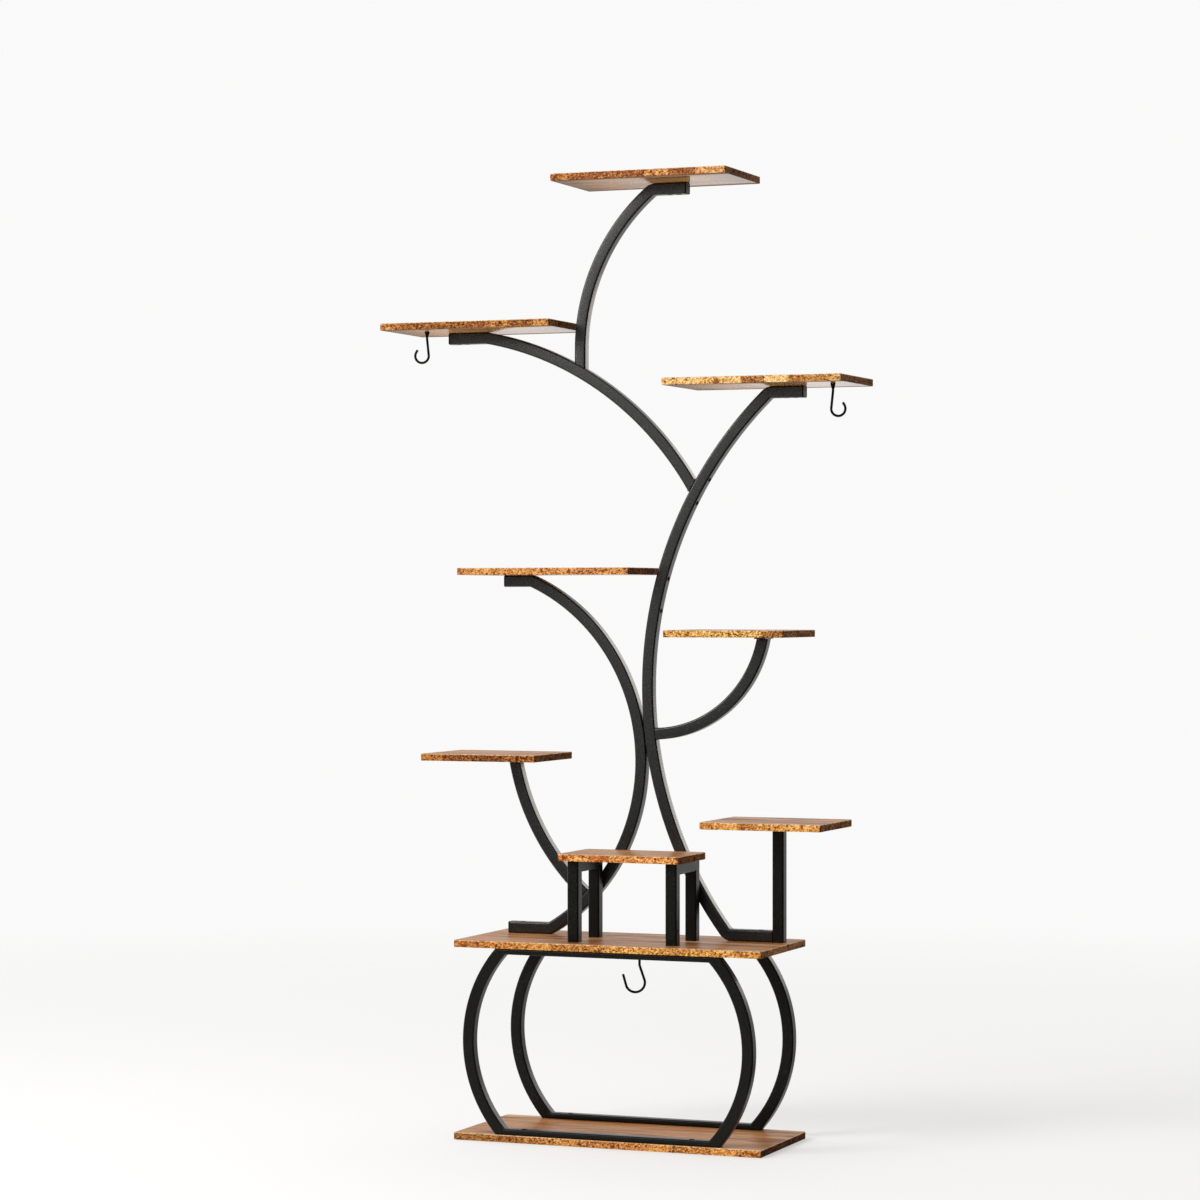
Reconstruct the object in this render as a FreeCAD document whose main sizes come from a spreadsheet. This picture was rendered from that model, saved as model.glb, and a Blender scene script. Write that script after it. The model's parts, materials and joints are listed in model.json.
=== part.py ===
import FreeCAD, Part
import math
import os
import re
import Sketcher

# Tree-shaped plant stand of bent square tube with ten boards and three swivel hooks.
# X runs along the boards, Y away from the viewer and Z up.
# The origin is the middle of the bottom board's underside.
# Sizes of the tree are heights above the deck, the top of the middle board. All lengths are in millimetres.

SIZES = {
    # boards
    "board_thickness": 12,
    "board_corner_radius": 3,
    "riser_corner_radius": 7,
    "base_width": 550,
    "base_depth": 230,
    "large_shelf_width": 315,
    "large_shelf_depth": 176,
    "small_shelf_width": 212,
    "small_shelf_depth": 170,
    # square tube
    "tube_side": 20,
    "tube_wall": 1.2,
    "bend_radius": 16,
    # lantern frames between the bottom board and the middle board
    "lantern_height": 313,
    "lantern_bar_height": 10,
    "lantern_side_inset": 25,
    "lantern_side_radius": 225,
    "lantern_inset": 3,
    "lantern_screw_x": 150,
    # plane of the tree, behind the middle of the base
    "tree_setback": 48,
    # right trunk: an arc between a foot corner and a top corner, with a level bar at each end
    "trunk_foot_x": 160,
    "trunk_lean": 74,
    "trunk_bulge": 179,
    "trunk_seam_height": 586,
    "upper_right_arm": 60,
    # left trunk: the same, bulging the other way, where it touches the right trunk
    "left_lean": 34,
    "left_bulge": 185,
    "middle_left_arm": 48,
    "left_foot_inset": 37,
    # upper left and top branches: an arc that leaves a level bar at a tilt
    "upper_left_corner_x": -284,
    "upper_left_tilt": 10.2,
    "upper_left_radius": 562,
    "upper_left_arm": 67,
    "top_corner_x": 24,
    "top_tilt": 37.8,
    "top_radius": 339,
    "top_arm": 61,
    # lower left and middle right branches: an arc that leans away from the upright where it meets its plate
    "lower_left_plate_x": -229,
    "lower_left_tilt": 10.8,
    "lower_left_radius": 394,
    "middle_right_plate_x": 223,
    "middle_right_tilt": 11,
    "middle_right_radius": 200,
    "branch_raw_sweep": 110,
    # right post, from the end of the base
    "post_inset": 24,
    # seat heights above the deck, and how far each shelf lies right of the corner or plate that carries it
    "top_seat": 1282,
    "top_shelf_shift": 12,
    "upper_left_seat": 1038,
    "upper_left_shelf_shift": 3,
    "upper_right_seat": 933,
    "upper_right_shelf_shift": 3,
    "middle_left_seat": 617,
    "middle_left_shelf_shift": 62,
    "middle_right_seat": 512,
    "middle_right_shelf_shift": -37,
    "lower_left_seat": 299,
    "lower_left_shelf_shift": -29,
    "lower_right_seat": 193,
    # riser that stands on the deck in front of the tree
    "riser_x": 16,
    "riser_width": 218,
    "riser_depth": 136,
    "riser_seat": 137,
    "riser_gap": 2,
    "riser_leg_inset": 11,
    "riser_leg_front": 20,
    "riser_leg_back": 2,
    # plates
    "plate_thickness": 3,
    "plate_length": 42,
    "plate_screw_pitch": 31,
    # foot of the upper left branch, with a strip of nuts that it reaches inside the trunk
    "saddle_foot": 24,
    "saddle_neck_length": 14,
    "saddle_neck_depth": 12,
    "saddle_neck_clearance": 0.2,
    "saddle_strip_length": 66,
    "saddle_bolt_pitch": 46,
    # sleeve inside the trunk's seam
    "sleeve_length": 90,
    "sleeve_wall": 1.2,
    "sleeve_clearance": 0.2,
    "sleeve_screw_pitch": 57,
    # plugs and threaded inserts
    "plug_flange": 2.5,
    "plug_chamfer": 0.8,
    "plug_depth": 7,
    "insert_depth": 16,
    "plug_clearance": 0.1,
    # screws, bolts and nuts
    "screw_radius": 2.3,
    "screw_head_radius": 4.5,
    "screw_head_height": 2.6,
    "screw_clearance": 0.2,
    "screw_bite": 8,
    "arm_screw_end": 14,
    "arm_screw_pitch": 16,
    "foot_screw_end": 22,
    "access_clearance": 0.7,
    "bolt_head_radius": 3.4,
    "bolt_head_height": 1.8,
    "sleeve_screw_length": 6,
    "nut_height": 4,
    "nut_flats": 8,
    # hooks
    "hook_wire_radius": 2.1,
    "hook_bend_radius": 12,
    "hook_head_radius": 2.9,
    "hook_head_height": 2,
    "hook_running_clearance": 0.05,
    "hook_head_clearance": 0.3,
    "socket_radius": 4,
    "socket_depth": 9,
    "socket_shoulder": 4,
    "socket_clearance": 0.05,
    "collar_radius": 4.3,
    "collar_rim": 0.8,
    "collar_height": 8,
    "collar_wall": 0.6,
    "upper_hook_neck": 12,
    "upper_hook_drop": 54,
    "upper_hook_loop": 12,
    "upper_hook_offset": 9,
    "upper_hook_curl": 30,
    "upper_hook_tip": 5,
    "lower_hook_neck": 22,
    "lower_hook_drop": 69,
    "lower_hook_loop": 16,
    "lower_hook_offset": 7,
    "lower_hook_curl": -15.5,
    "lower_hook_tip": 19,
    # places of the hooks, from the middle of their board
    "left_hook_shift": -92,
    "left_hook_forward": 35,
    "left_hook_turn": 190,
    "right_hook_shift": 121,
    "right_hook_forward": 18,
    "right_hook_turn": 5,
    "lower_hook_shift": 41,
    "lower_hook_forward": 60,
    "lower_hook_turn": 202,
    # how far a cutting tool runs past what it cuts
    "cut_margin": 1,
}

Vector = FreeCAD.Vector
Constraint = Sketcher.Constraint
AXES = {"x": Vector(1, 0, 0), "y": Vector(0, 1, 0), "z": Vector(0, 0, 1)}

doc = FreeCAD.newDocument("PlantStand")
sheet = doc.addObject("Spreadsheet::Sheet", "Sizes")
for row, (alias, value) in enumerate(SIZES.items(), start=1):
    sheet.set(f"A{row}", alias)
    sheet.set(f"B{row}", str(value))
    sheet.setAlias(f"B{row}", alias)
derived = doc.addObject("App::VarSet", "Derived")
probe = doc.addObject("Part::Vertex", "probe")
doc.recompute()
DERIVED = set()


# Document helpers.

def cells(text):
    """An expression with every size's name written as a cell, and every worked-out name as its own value."""

    def owner(word):
        name = word[0]
        if name in SIZES:
            return f"Sizes.{name}"
        return f"Derived.{name}" if name in DERIVED else name

    return re.sub(r"[a-z_]+", owner, text)


def bind(item, **texts):
    """Ties properties to expressions; two underscores stand for a dot."""
    for name, text in texts.items():
        item.setExpression(name.replace("__", "."), cells(text))


def derive(name, text, kind="Float"):
    """Adds a named value that follows from the sheet and from the values before it."""
    derived.addProperty(f"App::Property{kind}", name)
    derived.setExpression(name, cells(text).replace("Derived.", ""))
    DERIVED.add(name)
    derived.recompute()


def number(text):
    """The present value of an expression, for the first guess of a sketch."""
    probe.setExpression("X", cells(text))
    probe.recompute()
    return float(probe.X)


def move(item, x="0", y="0", z="0"):
    bind(item, Placement__Base__x=x, Placement__Base__y=y, Placement__Base__z=z)
    return item


def turn(item, axis, angle):
    item.Placement = FreeCAD.Placement(item.Placement.Base, FreeCAD.Rotation(AXES[axis], 1))
    bind(item, Placement__Rotation__Angle=angle)
    return item


def make_body(label):
    body = doc.addObject("PartDesign::Body", label)
    body.Label = label
    return body


def make_sketch(body, name, role, right="0", up="0", out="0"):
    sketch = body.newObject("Sketcher::SketchObject", name)
    plane = next(item for item in body.Origin.OriginFeatures if item.Role == role)
    sketch.AttachmentSupport = [(plane, "")]
    sketch.MapMode = "FlatFace"
    bind(sketch, AttachmentOffset__Base__x=right)
    bind(sketch, AttachmentOffset__Base__y=up)
    bind(sketch, AttachmentOffset__Base__z=out)
    return sketch


def dimension(sketch, kind, *where, text):
    index = sketch.addConstraint(Constraint(kind, *where, number(text)))
    sketch.setExpression(f"Constraints[{index}]", cells(text))


def polygon(sketch, points):
    """Closed chain of lines through the points; lines that start level or upright stay so."""
    count = len(points)
    lines = []
    for i in range(count):
        start = Vector(*points[i])
        end = Vector(*points[(i + 1) % count])
        lines.append(sketch.addGeometry(Part.LineSegment(start, end)))
        if abs(start.y - end.y) < 1e-9:
            sketch.addConstraint(Constraint("Horizontal", lines[i]))
        elif abs(start.x - end.x) < 1e-9:
            sketch.addConstraint(Constraint("Vertical", lines[i]))
    for i in range(count):
        sketch.addConstraint(Constraint("Coincident", lines[i], 2, lines[(i + 1) % count], 1))
    return lines


def rectangle(sketch, width, height):
    """Rectangle centred on the sketch's origin."""
    half_width = number(width) / 2
    half_height = number(height) / 2
    corners = [
        (-half_width, -half_height),
        (half_width, -half_height),
        (half_width, half_height),
        (-half_width, half_height),
    ]
    lines = polygon(sketch, corners)
    sketch.addConstraint(Constraint("Symmetric", lines[0], 1, lines[1], 2, -1, 1))
    dimension(sketch, "Distance", lines[0], text=width)
    dimension(sketch, "Distance", lines[1], text=height)


def ring_section(sketch, side, radius, width, height):
    """Rectangle about the X axis whose middle is a radius away from the Y axis, to the left or right."""
    near = number(f"{radius} - {width} / 2")
    far = number(f"{radius} + {width} / 2")
    half = number(f"{height} / 2")
    corners = [(side * near, -half), (side * far, -half), (side * far, half), (side * near, half)]
    lines = polygon(sketch, corners)
    dimension(sketch, "Distance", lines[0], text=width)
    dimension(sketch, "Distance", lines[1], text=height)
    dimension(sketch, "DistanceY", lines[0], 1, -1, 1, text=f"{height} / 2")
    ends = (-1, 1, lines[0], 1) if side > 0 else (lines[0], 1, -1, 1)
    dimension(sketch, "DistanceX", *ends, text=f"{radius} - {width} / 2")


def circle(sketch, radius):
    index = sketch.addGeometry(Part.Circle(Vector(), AXES["z"], number(radius)))
    sketch.addConstraint(Constraint("Coincident", index, 3, -1, 1))
    dimension(sketch, "Radius", index, text=radius)


def extrude(body, kind, sketch, length, symmetric=False, reversed_way=False):
    feature = body.newObject(f"PartDesign::{kind}", f"{sketch.Name}_{kind.lower()}")
    feature.Profile = sketch
    bind(feature, Length=length)
    feature.SideType = "Symmetric" if symmetric else "One side"
    feature.Reversed = reversed_way
    return feature


def revolve(body, sketch, angle, symmetric=False, reversed_way=False):
    feature = body.newObject("PartDesign::Revolution", f"{sketch.Name}_turned")
    feature.Profile = sketch
    feature.ReferenceAxis = (sketch, ["V_Axis"])
    bind(feature, Angle=angle)
    feature.Midplane = symmetric
    feature.Reversed = reversed_way
    return feature


def sweep(body, profile, path):
    feature = body.newObject("PartDesign::AdditivePipe", f"{path.Name}_pipe")
    feature.Profile = profile
    feature.Spine = (path, [])
    return feature


def upright_edges(feature):
    doc.recompute()
    names = []
    for i, edge in enumerate(feature.Shape.Edges, start=1):
        if abs(edge.tangentAt(edge.FirstParameter).z) > 0.99:
            names.append(f"Edge{i}")
    return names


def cylinder(x, y, z, radius, height):
    tool = doc.addObject("Part::Cylinder", "bore")
    bind(tool, Radius=radius, Height=height)
    return move(tool, x, y, z)


def box(x, y, z, length, width, height):
    tool = doc.addObject("Part::Box", "block")
    bind(tool, Length=length, Width=width, Height=height)
    return move(tool, x, y, z)


def drum(x, z, radius):
    """Disc across the tree's plane, about an axis along Y."""
    tool = doc.addObject("Part::Cylinder", "drum")
    bind(tool, Radius=radius, Height="2 * tube_side")
    turn(tool, "x", "90")
    return move(tool, x, f"{TREE} + tube_side", z)


def cut(label, base, tools):
    """The base less a set of tools, as a sub-part of its own."""
    cluster = doc.addObject("Part::Compound", f"{label}_tools")
    cluster.Links = tools
    piece = doc.addObject("Part::Cut", f"{label}_cut")
    piece.Base = base
    piece.Tool = cluster
    piece.Label = label
    return piece


def fuse(label, pieces):
    whole = doc.addObject("Part::MultiFuse", f"{label}_whole")
    whole.Shapes = pieces
    return whole


def common(label, base, tool):
    piece = doc.addObject("Part::Common", f"{label}_common")
    piece.Base = base
    piece.Tool = tool
    return piece


def group(label, copies):
    """Separate copies of one template, kept together under one name."""
    cluster = doc.addObject("Part::Compound", f"{label}_group")
    cluster.Links = copies
    cluster.Label = label
    return cluster


def copy_of(template, x="0", y="0", z="0", axis="z", angle="0"):
    link = doc.addObject("App::Link", f"{template.Name}_copy")
    link.LinkedObject = template
    turn(link, axis, angle)
    return move(link, x, y, z)


# Values that several pieces share, worked out from the sheet.

TREE = "tree_setback"
derive("deck", "2 * board_thickness + lantern_height")
derive("middle", "board_thickness + lantern_height")
derive("core", "tube_side - 2 * tube_wall")
derive("hole", "screw_radius + screw_clearance")
derive("access", "screw_head_radius + access_clearance")
derive("arm_screw_length", "tube_wall + screw_bite")
derive("foot_level", "tube_side / 2")
derive("lantern_y", "base_depth / 2 - lantern_inset - tube_side / 2")
derive("lantern_reach", "base_width / 2 - lantern_side_inset")
derive("large_shelf_y", "base_depth / 2 - large_shelf_depth / 2")
derive("small_shelf_y", "base_depth / 2 - small_shelf_depth / 2")
derive("post_x", "base_width / 2 - post_inset")
derive("left_foot_x", "left_foot_inset - base_width / 2")
for name in ("top", "upper_left", "upper_right", "middle_left"):
    derive(f"{name}_level", f"{name}_seat - tube_side / 2")

derive("trunk_rise", "upper_right_level - foot_level")
derive("trunk_chord", "sqrt(trunk_rise ^ 2 + trunk_lean ^ 2)")
derive("trunk_radius", "(trunk_chord ^ 2 / 4 + trunk_bulge ^ 2) / (2 * trunk_bulge)")
derive("trunk_offset", "(trunk_radius - trunk_bulge) / trunk_chord")
derive("trunk_x", "trunk_foot_x + trunk_lean / 2 + trunk_offset * trunk_rise")
derive("trunk_z", "foot_level + trunk_rise / 2 - trunk_offset * trunk_lean")
derive("trunk_inner", "trunk_radius - tube_side / 2")
derive("upper_right_corner_x", "trunk_foot_x + trunk_lean")
derive("upper_right_tip_x", "upper_right_corner_x + upper_right_arm")
derive("seam_angle", "asin((trunk_seam_height - trunk_z) / trunk_radius)", "Angle")

derive("left_rise", "middle_left_level - foot_level")
derive("left_chord", "sqrt(left_rise ^ 2 + left_lean ^ 2)")
derive("left_radius", "(left_chord ^ 2 / 4 + left_bulge ^ 2) / (2 * left_bulge)")
derive("left_offset", "(left_radius - left_bulge) / left_chord")
derive("left_z", "foot_level + left_rise / 2 - left_offset * left_lean")
derive("trunks_apart", "trunk_radius + left_radius + tube_side")
derive("left_x", "trunk_x - sqrt(trunks_apart ^ 2 - (trunk_z - left_z) ^ 2)")
derive("left_inner", "left_radius - tube_side / 2")
derive("touch_angle", "asin((trunk_z - left_z) / trunks_apart)", "Angle")
derive("middle_left_corner_x", "left_x + left_offset * left_rise - left_lean / 2")
derive("middle_left_tip_x", "middle_left_corner_x - middle_left_arm")

derive("upper_left_x", "upper_left_corner_x - upper_left_radius * sin(upper_left_tilt)")
derive("upper_left_z", "upper_left_level - upper_left_radius * cos(upper_left_tilt)")
derive("upper_left_tip_x", "upper_left_corner_x - upper_left_arm")
derive("top_x", "top_corner_x + top_radius * sin(top_tilt)")
derive("top_z", "top_level - top_radius * cos(top_tilt)")
derive("top_tip_x", "top_corner_x + top_arm")

derive("saddle_face", "trunk_radius + tube_side / 2 + plate_thickness")
derive("saddle_run", "trunk_x - upper_left_x")
derive("saddle_rise", "upper_left_z - trunk_z")
derive("saddle_reach", "sqrt(saddle_run ^ 2 + saddle_rise ^ 2)")
derive("saddle_square", "saddle_face ^ 2 + saddle_reach ^ 2 - upper_left_radius ^ 2")
derive("saddle_turn", "acos(saddle_square / (2 * saddle_reach * saddle_face))", "Angle")
derive("saddle_angle", "atan(saddle_rise / saddle_run) + saddle_turn", "Angle")
derive("strip_outer", "trunk_radius + tube_side / 2 - tube_wall - sleeve_clearance")
derive("strip_inner", "strip_outer - plate_thickness")
derive("nut_seat", "sqrt(strip_inner ^ 2 - nut_flats ^ 2)")
derive("saddle_step", "saddle_bolt_pitch / 2 / trunk_radius * 180 deg / pi", "Angle")
derive("sleeve_step", "sleeve_screw_pitch / 2 / trunk_radius * 180 deg / pi", "Angle")

derive("lower_left_x", "lower_left_plate_x + lower_left_radius * cos(lower_left_tilt)")
derive("middle_right_x", "middle_right_plate_x - middle_right_radius * cos(middle_right_tilt)")
for name in ("lower_left", "middle_right"):
    derive(f"{name}_z", f"{name}_seat - plate_thickness + {name}_radius * sin({name}_tilt)")

for name in ("top", "upper_left", "upper_right", "middle_left"):
    derive(f"{name}_shelf_x", f"{name}_corner_x + {name}_shelf_shift")
for name in ("middle_right", "lower_left"):
    derive(f"{name}_shelf_x", f"{name}_plate_x + {name}_shelf_shift")

derive("riser_back", "tree_setback - tube_side / 2 - riser_gap")
derive("riser_y", "riser_back - riser_depth / 2")
derive("riser_leg_depth", "riser_depth - riser_leg_front - riser_leg_back")
derive("riser_leg_y", "riser_back - riser_leg_back - riser_leg_depth / 2")
derive("riser_leg_x", "riser_width / 2 - riser_leg_inset - tube_side / 2")
derive("riser_foot_y", "riser_leg_depth / 2 - tube_side / 2")

derive("left_hook_x", "upper_left_shelf_x + left_hook_shift")
derive("left_hook_y", "large_shelf_y - left_hook_forward")
derive("right_hook_x", "upper_right_shelf_x + right_hook_shift")
derive("right_hook_y", "large_shelf_y - right_hook_forward")
derive("hook_head_seat", "socket_shoulder + hook_head_clearance")
derive("hook_bore", "hook_wire_radius + hook_running_clearance")


# Tube helpers.

def tube_profile(sketch):
    rectangle(sketch, "tube_side", "tube_side")
    rectangle(sketch, "core", "core")


def arc_tube(label, side, x, z, radius, top, bottom):
    """Square tube along an arc about (x, z), on the right of its centre for side 1 and on the left for -1.

    top and bottom each end the arc: a pair (tip_x, height) adds a bend and a level bar out to tip_x, a pair
    (None, height) an upright stem down to that height, and a single height ends the arc itself. The tube
    starts with a bar.
    """
    body = make_body(f"{label}_tube")
    path = make_sketch(body, f"{label}_path", "XZ_Plane", right=x, up=z)
    big = number(radius)
    small = number("bend_radius")
    ends = {}
    for name, end, sign in (("top", top, 1), ("bottom", bottom, -1)):
        if isinstance(end, str):
            ends[name] = math.asin(number(f"{end} - {z}") / big)
        elif end[0] is None:
            ends[name] = 0
        else:
            ends[name] = math.asin((number(f"{end[1]} - {z}") - sign * small) / (big - small))

    def span(low, high):
        return (low, high) if side > 0 else (math.pi - high, math.pi - low)

    upper_end, lower_end = (2, 1) if side > 0 else (1, 2)
    whole = Part.Circle(Vector(), AXES["z"], big)
    arc = path.addGeometry(Part.ArcOfCircle(whole, *span(ends["bottom"], ends["top"])))
    path.addConstraint(Constraint("Coincident", arc, 3, -1, 1))
    dimension(path, "Radius", arc, text=radius)
    start = None
    for name, end, sign in (("top", top, 1), ("bottom", bottom, -1)):
        arc_end = upper_end if sign > 0 else lower_end
        level = end if isinstance(end, str) else end[1]
        rise_text = f"{level} - {z}"
        if isinstance(end, str):
            dimension(path, "DistanceY", -1, 1, arc, arc_end, text=rise_text)
            continue
        if end[0] is None:
            foot = Vector(side * big, number(rise_text))
            stem = path.addGeometry(Part.LineSegment(Vector(side * big, 0), foot))
            path.addConstraint(Constraint("Tangent", arc, arc_end, stem, 1))
            path.addConstraint(Constraint("Vertical", stem))
            dimension(path, "DistanceY", stem, 2, -1, 1, text=f"{z} - {level}")
            continue
        angle = ends[name]
        centre = Vector(side * math.cos(angle), math.sin(angle)) * (big - small)
        limits = (angle, math.pi / 2) if sign > 0 else (-math.pi / 2, angle)
        bend = path.addGeometry(Part.ArcOfCircle(Part.Circle(centre, AXES["z"], small), *span(*limits)))
        tip = Vector(number(f"{end[0]} - {x}"), number(rise_text))
        bar = path.addGeometry(Part.LineSegment(tip, Vector(centre.x, tip.y)))
        dimension(path, "Radius", bend, text="bend_radius")
        path.addConstraint(Constraint("Horizontal", bar))
        path.addConstraint(Constraint("Tangent", bar, 2, bend, upper_end if sign > 0 else lower_end))
        path.addConstraint(Constraint("Tangent", bend, lower_end if sign > 0 else upper_end, arc, arc_end))
        dimension(path, "DistanceX", -1, 1, bar, 1, text=f"{end[0]} - {x}")
        dimension(path, "DistanceY", -1, 1, bar, 1, text=rise_text)
        start = start or end
    profile = make_sketch(body, f"{label}_profile", "YZ_Plane", up=start[1], out=start[0])
    tube_profile(profile)
    sweep(body, profile, path)
    return move(body, "0", TREE, "deck")


def turned_tube(label, side, x, z, radius, angle):
    """Square tube turned about an axis along Y, from a level radius downwards."""
    body = make_body(f"{label}_tube")
    section = make_sketch(body, f"{label}_section", "XY_Plane", right=x, out=z)
    ring_section(section, side, radius, "tube_side", "tube_side")
    ring_section(section, side, radius, "core", "core")
    revolve(body, section, angle, reversed_way=side < 0)
    return move(body, "0", TREE, "deck")


def trunk_sector(label, angle, radius, width, height, length, core=None):
    """Sector about the right trunk's centre, its middle at an angle above the level radius."""
    body = make_body(label)
    section = make_sketch(body, f"{label}_section", "XY_Plane")
    ring_section(section, -1, radius, width, height)
    if core:
        ring_section(section, -1, radius, core, core)
    revolve(body, section, f"{length} / {radius} * 180 deg / pi", symmetric=True)
    turn(body, "y", angle)
    return move(body, "trunk_x", TREE, "deck + trunk_z")


def on_trunk(angle, radius):
    """Place on the right trunk at an angle and radius, facing out from the trunk's centre."""
    return {
        "x": f"trunk_x - {radius} * cos({angle})",
        "y": TREE,
        "z": f"deck + trunk_z + {radius} * sin({angle})",
        "axis": "y",
        "angle": f"90 deg + {angle}",
    }


def turned_bore(place, radius, depth):
    """Hole along a fastener's shank, from a place given as for copy_of; the shank points down unturned."""
    stem = doc.addObject("Part::Cylinder", "stem")
    bind(stem, Radius=radius, Height=f"{depth} + 2 * cut_margin")
    move(stem, "0", "0", f"-({depth} + cut_margin)")
    holder = doc.addObject("Part::Compound", "stem_holder")
    holder.Links = [stem]
    turn(holder, place["axis"], place["angle"])
    return move(holder, place["x"], place["y"], place["z"])


# Fastener templates. Each points down from the origin, with its head above.

def screw_template(label, length, kind="screw"):
    body = make_body(label)
    head = make_sketch(body, f"{label}_head", "XY_Plane")
    circle(head, f"{kind}_head_radius")
    extrude(body, "Pad", head, f"{kind}_head_height")
    shank = make_sketch(body, f"{label}_shank", "XY_Plane")
    circle(shank, "screw_radius")
    extrude(body, "Pad", shank, length, reversed_way=True)
    return body


arm_screw = screw_template("arm_screw", "arm_screw_length")
plate_screw = screw_template("plate_screw", "plate_thickness + screw_bite")
leg_screw = screw_template("leg_screw", "board_thickness + insert_depth")
sleeve_screw = screw_template("sleeve_screw", "sleeve_screw_length", "bolt")
saddle_bolt = screw_template("saddle_bolt", "strip_outer - trunk_inner", "bolt")
trunk_bolt = screw_template("trunk_bolt_blank", "2 * tube_side", "bolt")


def nut_template():
    prism = doc.addObject("Part::Prism", "nut_prism")
    prism.Polygon = 6
    bind(prism, Circumradius="nut_flats / sqrt(3)", Height="nut_height")
    thread = cylinder("0", "0", "-cut_margin", "screw_radius", "nut_height + 2 * cut_margin")
    return cut("nut", prism, [thread])


nut = nut_template()


def plug_template():
    body = make_body("plug")
    flange = make_sketch(body, "plug_flange_outline", "YZ_Plane")
    rectangle(flange, "tube_side", "tube_side")
    pad = extrude(body, "Pad", flange, "plug_flange")
    doc.recompute()
    outer = max(range(len(pad.Shape.Faces)), key=lambda i: pad.Shape.Faces[i].CenterOfMass.x)
    chamfer = body.newObject("PartDesign::Chamfer", "plug_edge")
    chamfer.Base = (pad, [f"Face{outer + 1}"])
    bind(chamfer, Size="plug_chamfer")
    stem = make_sketch(body, "plug_stem_outline", "YZ_Plane")
    rectangle(stem, "core - 2 * plug_clearance", "core - 2 * plug_clearance")
    extrude(body, "Pad", stem, "plug_depth", reversed_way=True)
    return body


plug = plug_template()


def insert_template():
    body = make_body("insert")
    outline = make_sketch(body, "insert_outline", "XY_Plane")
    rectangle(outline, "core - 2 * plug_clearance", "core - 2 * plug_clearance")
    circle(outline, "screw_radius")
    extrude(body, "Pad", outline, "insert_depth")
    return body


insert = insert_template()


# Places of the fasteners, shared by the screws and the holes that they pass through.

def arm_places(tip_x, inward):
    """The two screws of a shelf arm that runs from its tip to the right for 1 and to the left for -1."""
    first = f"({tip_x} + {inward} * arm_screw_end)"
    return [first, f"({first} + {inward} * arm_screw_pitch)"]


PLATE_ROWS = ["-plate_screw_pitch / 2", "plate_screw_pitch / 2"]
LANTERN_SCREWS = [
    (x, y)
    for x in ("-lantern_screw_x", "lantern_screw_x")
    for y in ("-lantern_y", "lantern_y")
]
RISER_LEGS = [
    (f"(riser_x + {x} * riser_leg_x)", f"(riser_leg_y + {y} * riser_foot_y)")
    for x in (-1, 1)
    for y in (-1, 1)
]
LEFT_FOOT_SCREW = "(left_foot_x + foot_screw_end)"
RIGHT_FOOT_SCREW = "(post_x - tube_side / 2 - foot_screw_end)"
SADDLE_BOLTS = ["(saddle_angle - saddle_step)", "(saddle_angle + saddle_step)"]
SLEEVE_SCREWS = ["(seam_angle - sleeve_step)", "(seam_angle + sleeve_step)"]
TRUNK_BOLT = {
    "x": "left_x + left_inner * cos(touch_angle)",
    "y": TREE,
    "z": "deck + left_z + left_inner * sin(touch_angle)",
    "axis": "y",
    "angle": "-(90 deg + touch_angle)",
}

parts = []


def keep(piece):
    parts.append(piece)
    return piece


# Boards.

def board(label, width, depth, x, y, z, under=(), top=(), through=(), sockets=(), corner="board"):
    """Board with rounded corners; holes are given in the stand's own X and Y."""
    body = make_body(f"{label}_blank")
    outline = make_sketch(body, f"{label}_outline", "XY_Plane")
    rectangle(outline, width, depth)
    pad = extrude(body, "Pad", outline, "board_thickness")
    corners = body.newObject("PartDesign::Fillet", f"{label}_corners")
    corners.Base = (pad, upright_edges(pad))
    bind(corners, Radius=f"{corner}_corner_radius")
    move(body, x, y, z)
    below = f"{z} - cut_margin"
    tools = []
    for hole_x, hole_y in under:
        tools.append(cylinder(hole_x, hole_y, below, "screw_radius", "screw_bite + cut_margin"))
    for hole_x, hole_y in top:
        start = f"{z} + board_thickness - screw_bite"
        tools.append(cylinder(hole_x, hole_y, start, "screw_radius", "screw_bite + cut_margin"))
    for hole_x, hole_y in through:
        tools.append(cylinder(hole_x, hole_y, below, "hole", "board_thickness + 2 * cut_margin"))
    for hole_x, hole_y in sockets:
        depth_text = "socket_depth + hook_head_clearance + cut_margin"
        radius_text = "socket_radius + socket_clearance"
        tools.append(cylinder(hole_x, hole_y, below, radius_text, depth_text))
    return keep(cut(label, body, tools))


board("bottom_board", "base_width", "base_depth", "0", "0", "0", top=LANTERN_SCREWS)
board(
    "middle_board", "base_width", "base_depth", "0", "0", "middle",
    under=LANTERN_SCREWS,
    top=[(LEFT_FOOT_SCREW, TREE), (RIGHT_FOOT_SCREW, TREE)],
    through=RISER_LEGS + [("post_x", TREE)],
    sockets=[("lower_hook_shift", "-lower_hook_forward")],
)
ARMS = {
    "top": ("top_tip_x", -1),
    "upper_left": ("upper_left_tip_x", 1),
    "upper_right": ("upper_right_tip_x", -1),
    "middle_left": ("middle_left_tip_x", 1),
}
HOOKED = {
    "upper_left": [("left_hook_x", "left_hook_y")],
    "upper_right": [("right_hook_x", "right_hook_y")],
}
for name, (tip_x, inward) in ARMS.items():
    screws = [(x, TREE) for x in arm_places(tip_x, inward)]
    seat = f"(deck + {name}_seat)"
    board(
        f"{name}_shelf", "large_shelf_width", "large_shelf_depth", f"{name}_shelf_x", "large_shelf_y", seat,
        under=screws, sockets=HOOKED.get(name, []),
    )

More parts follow.
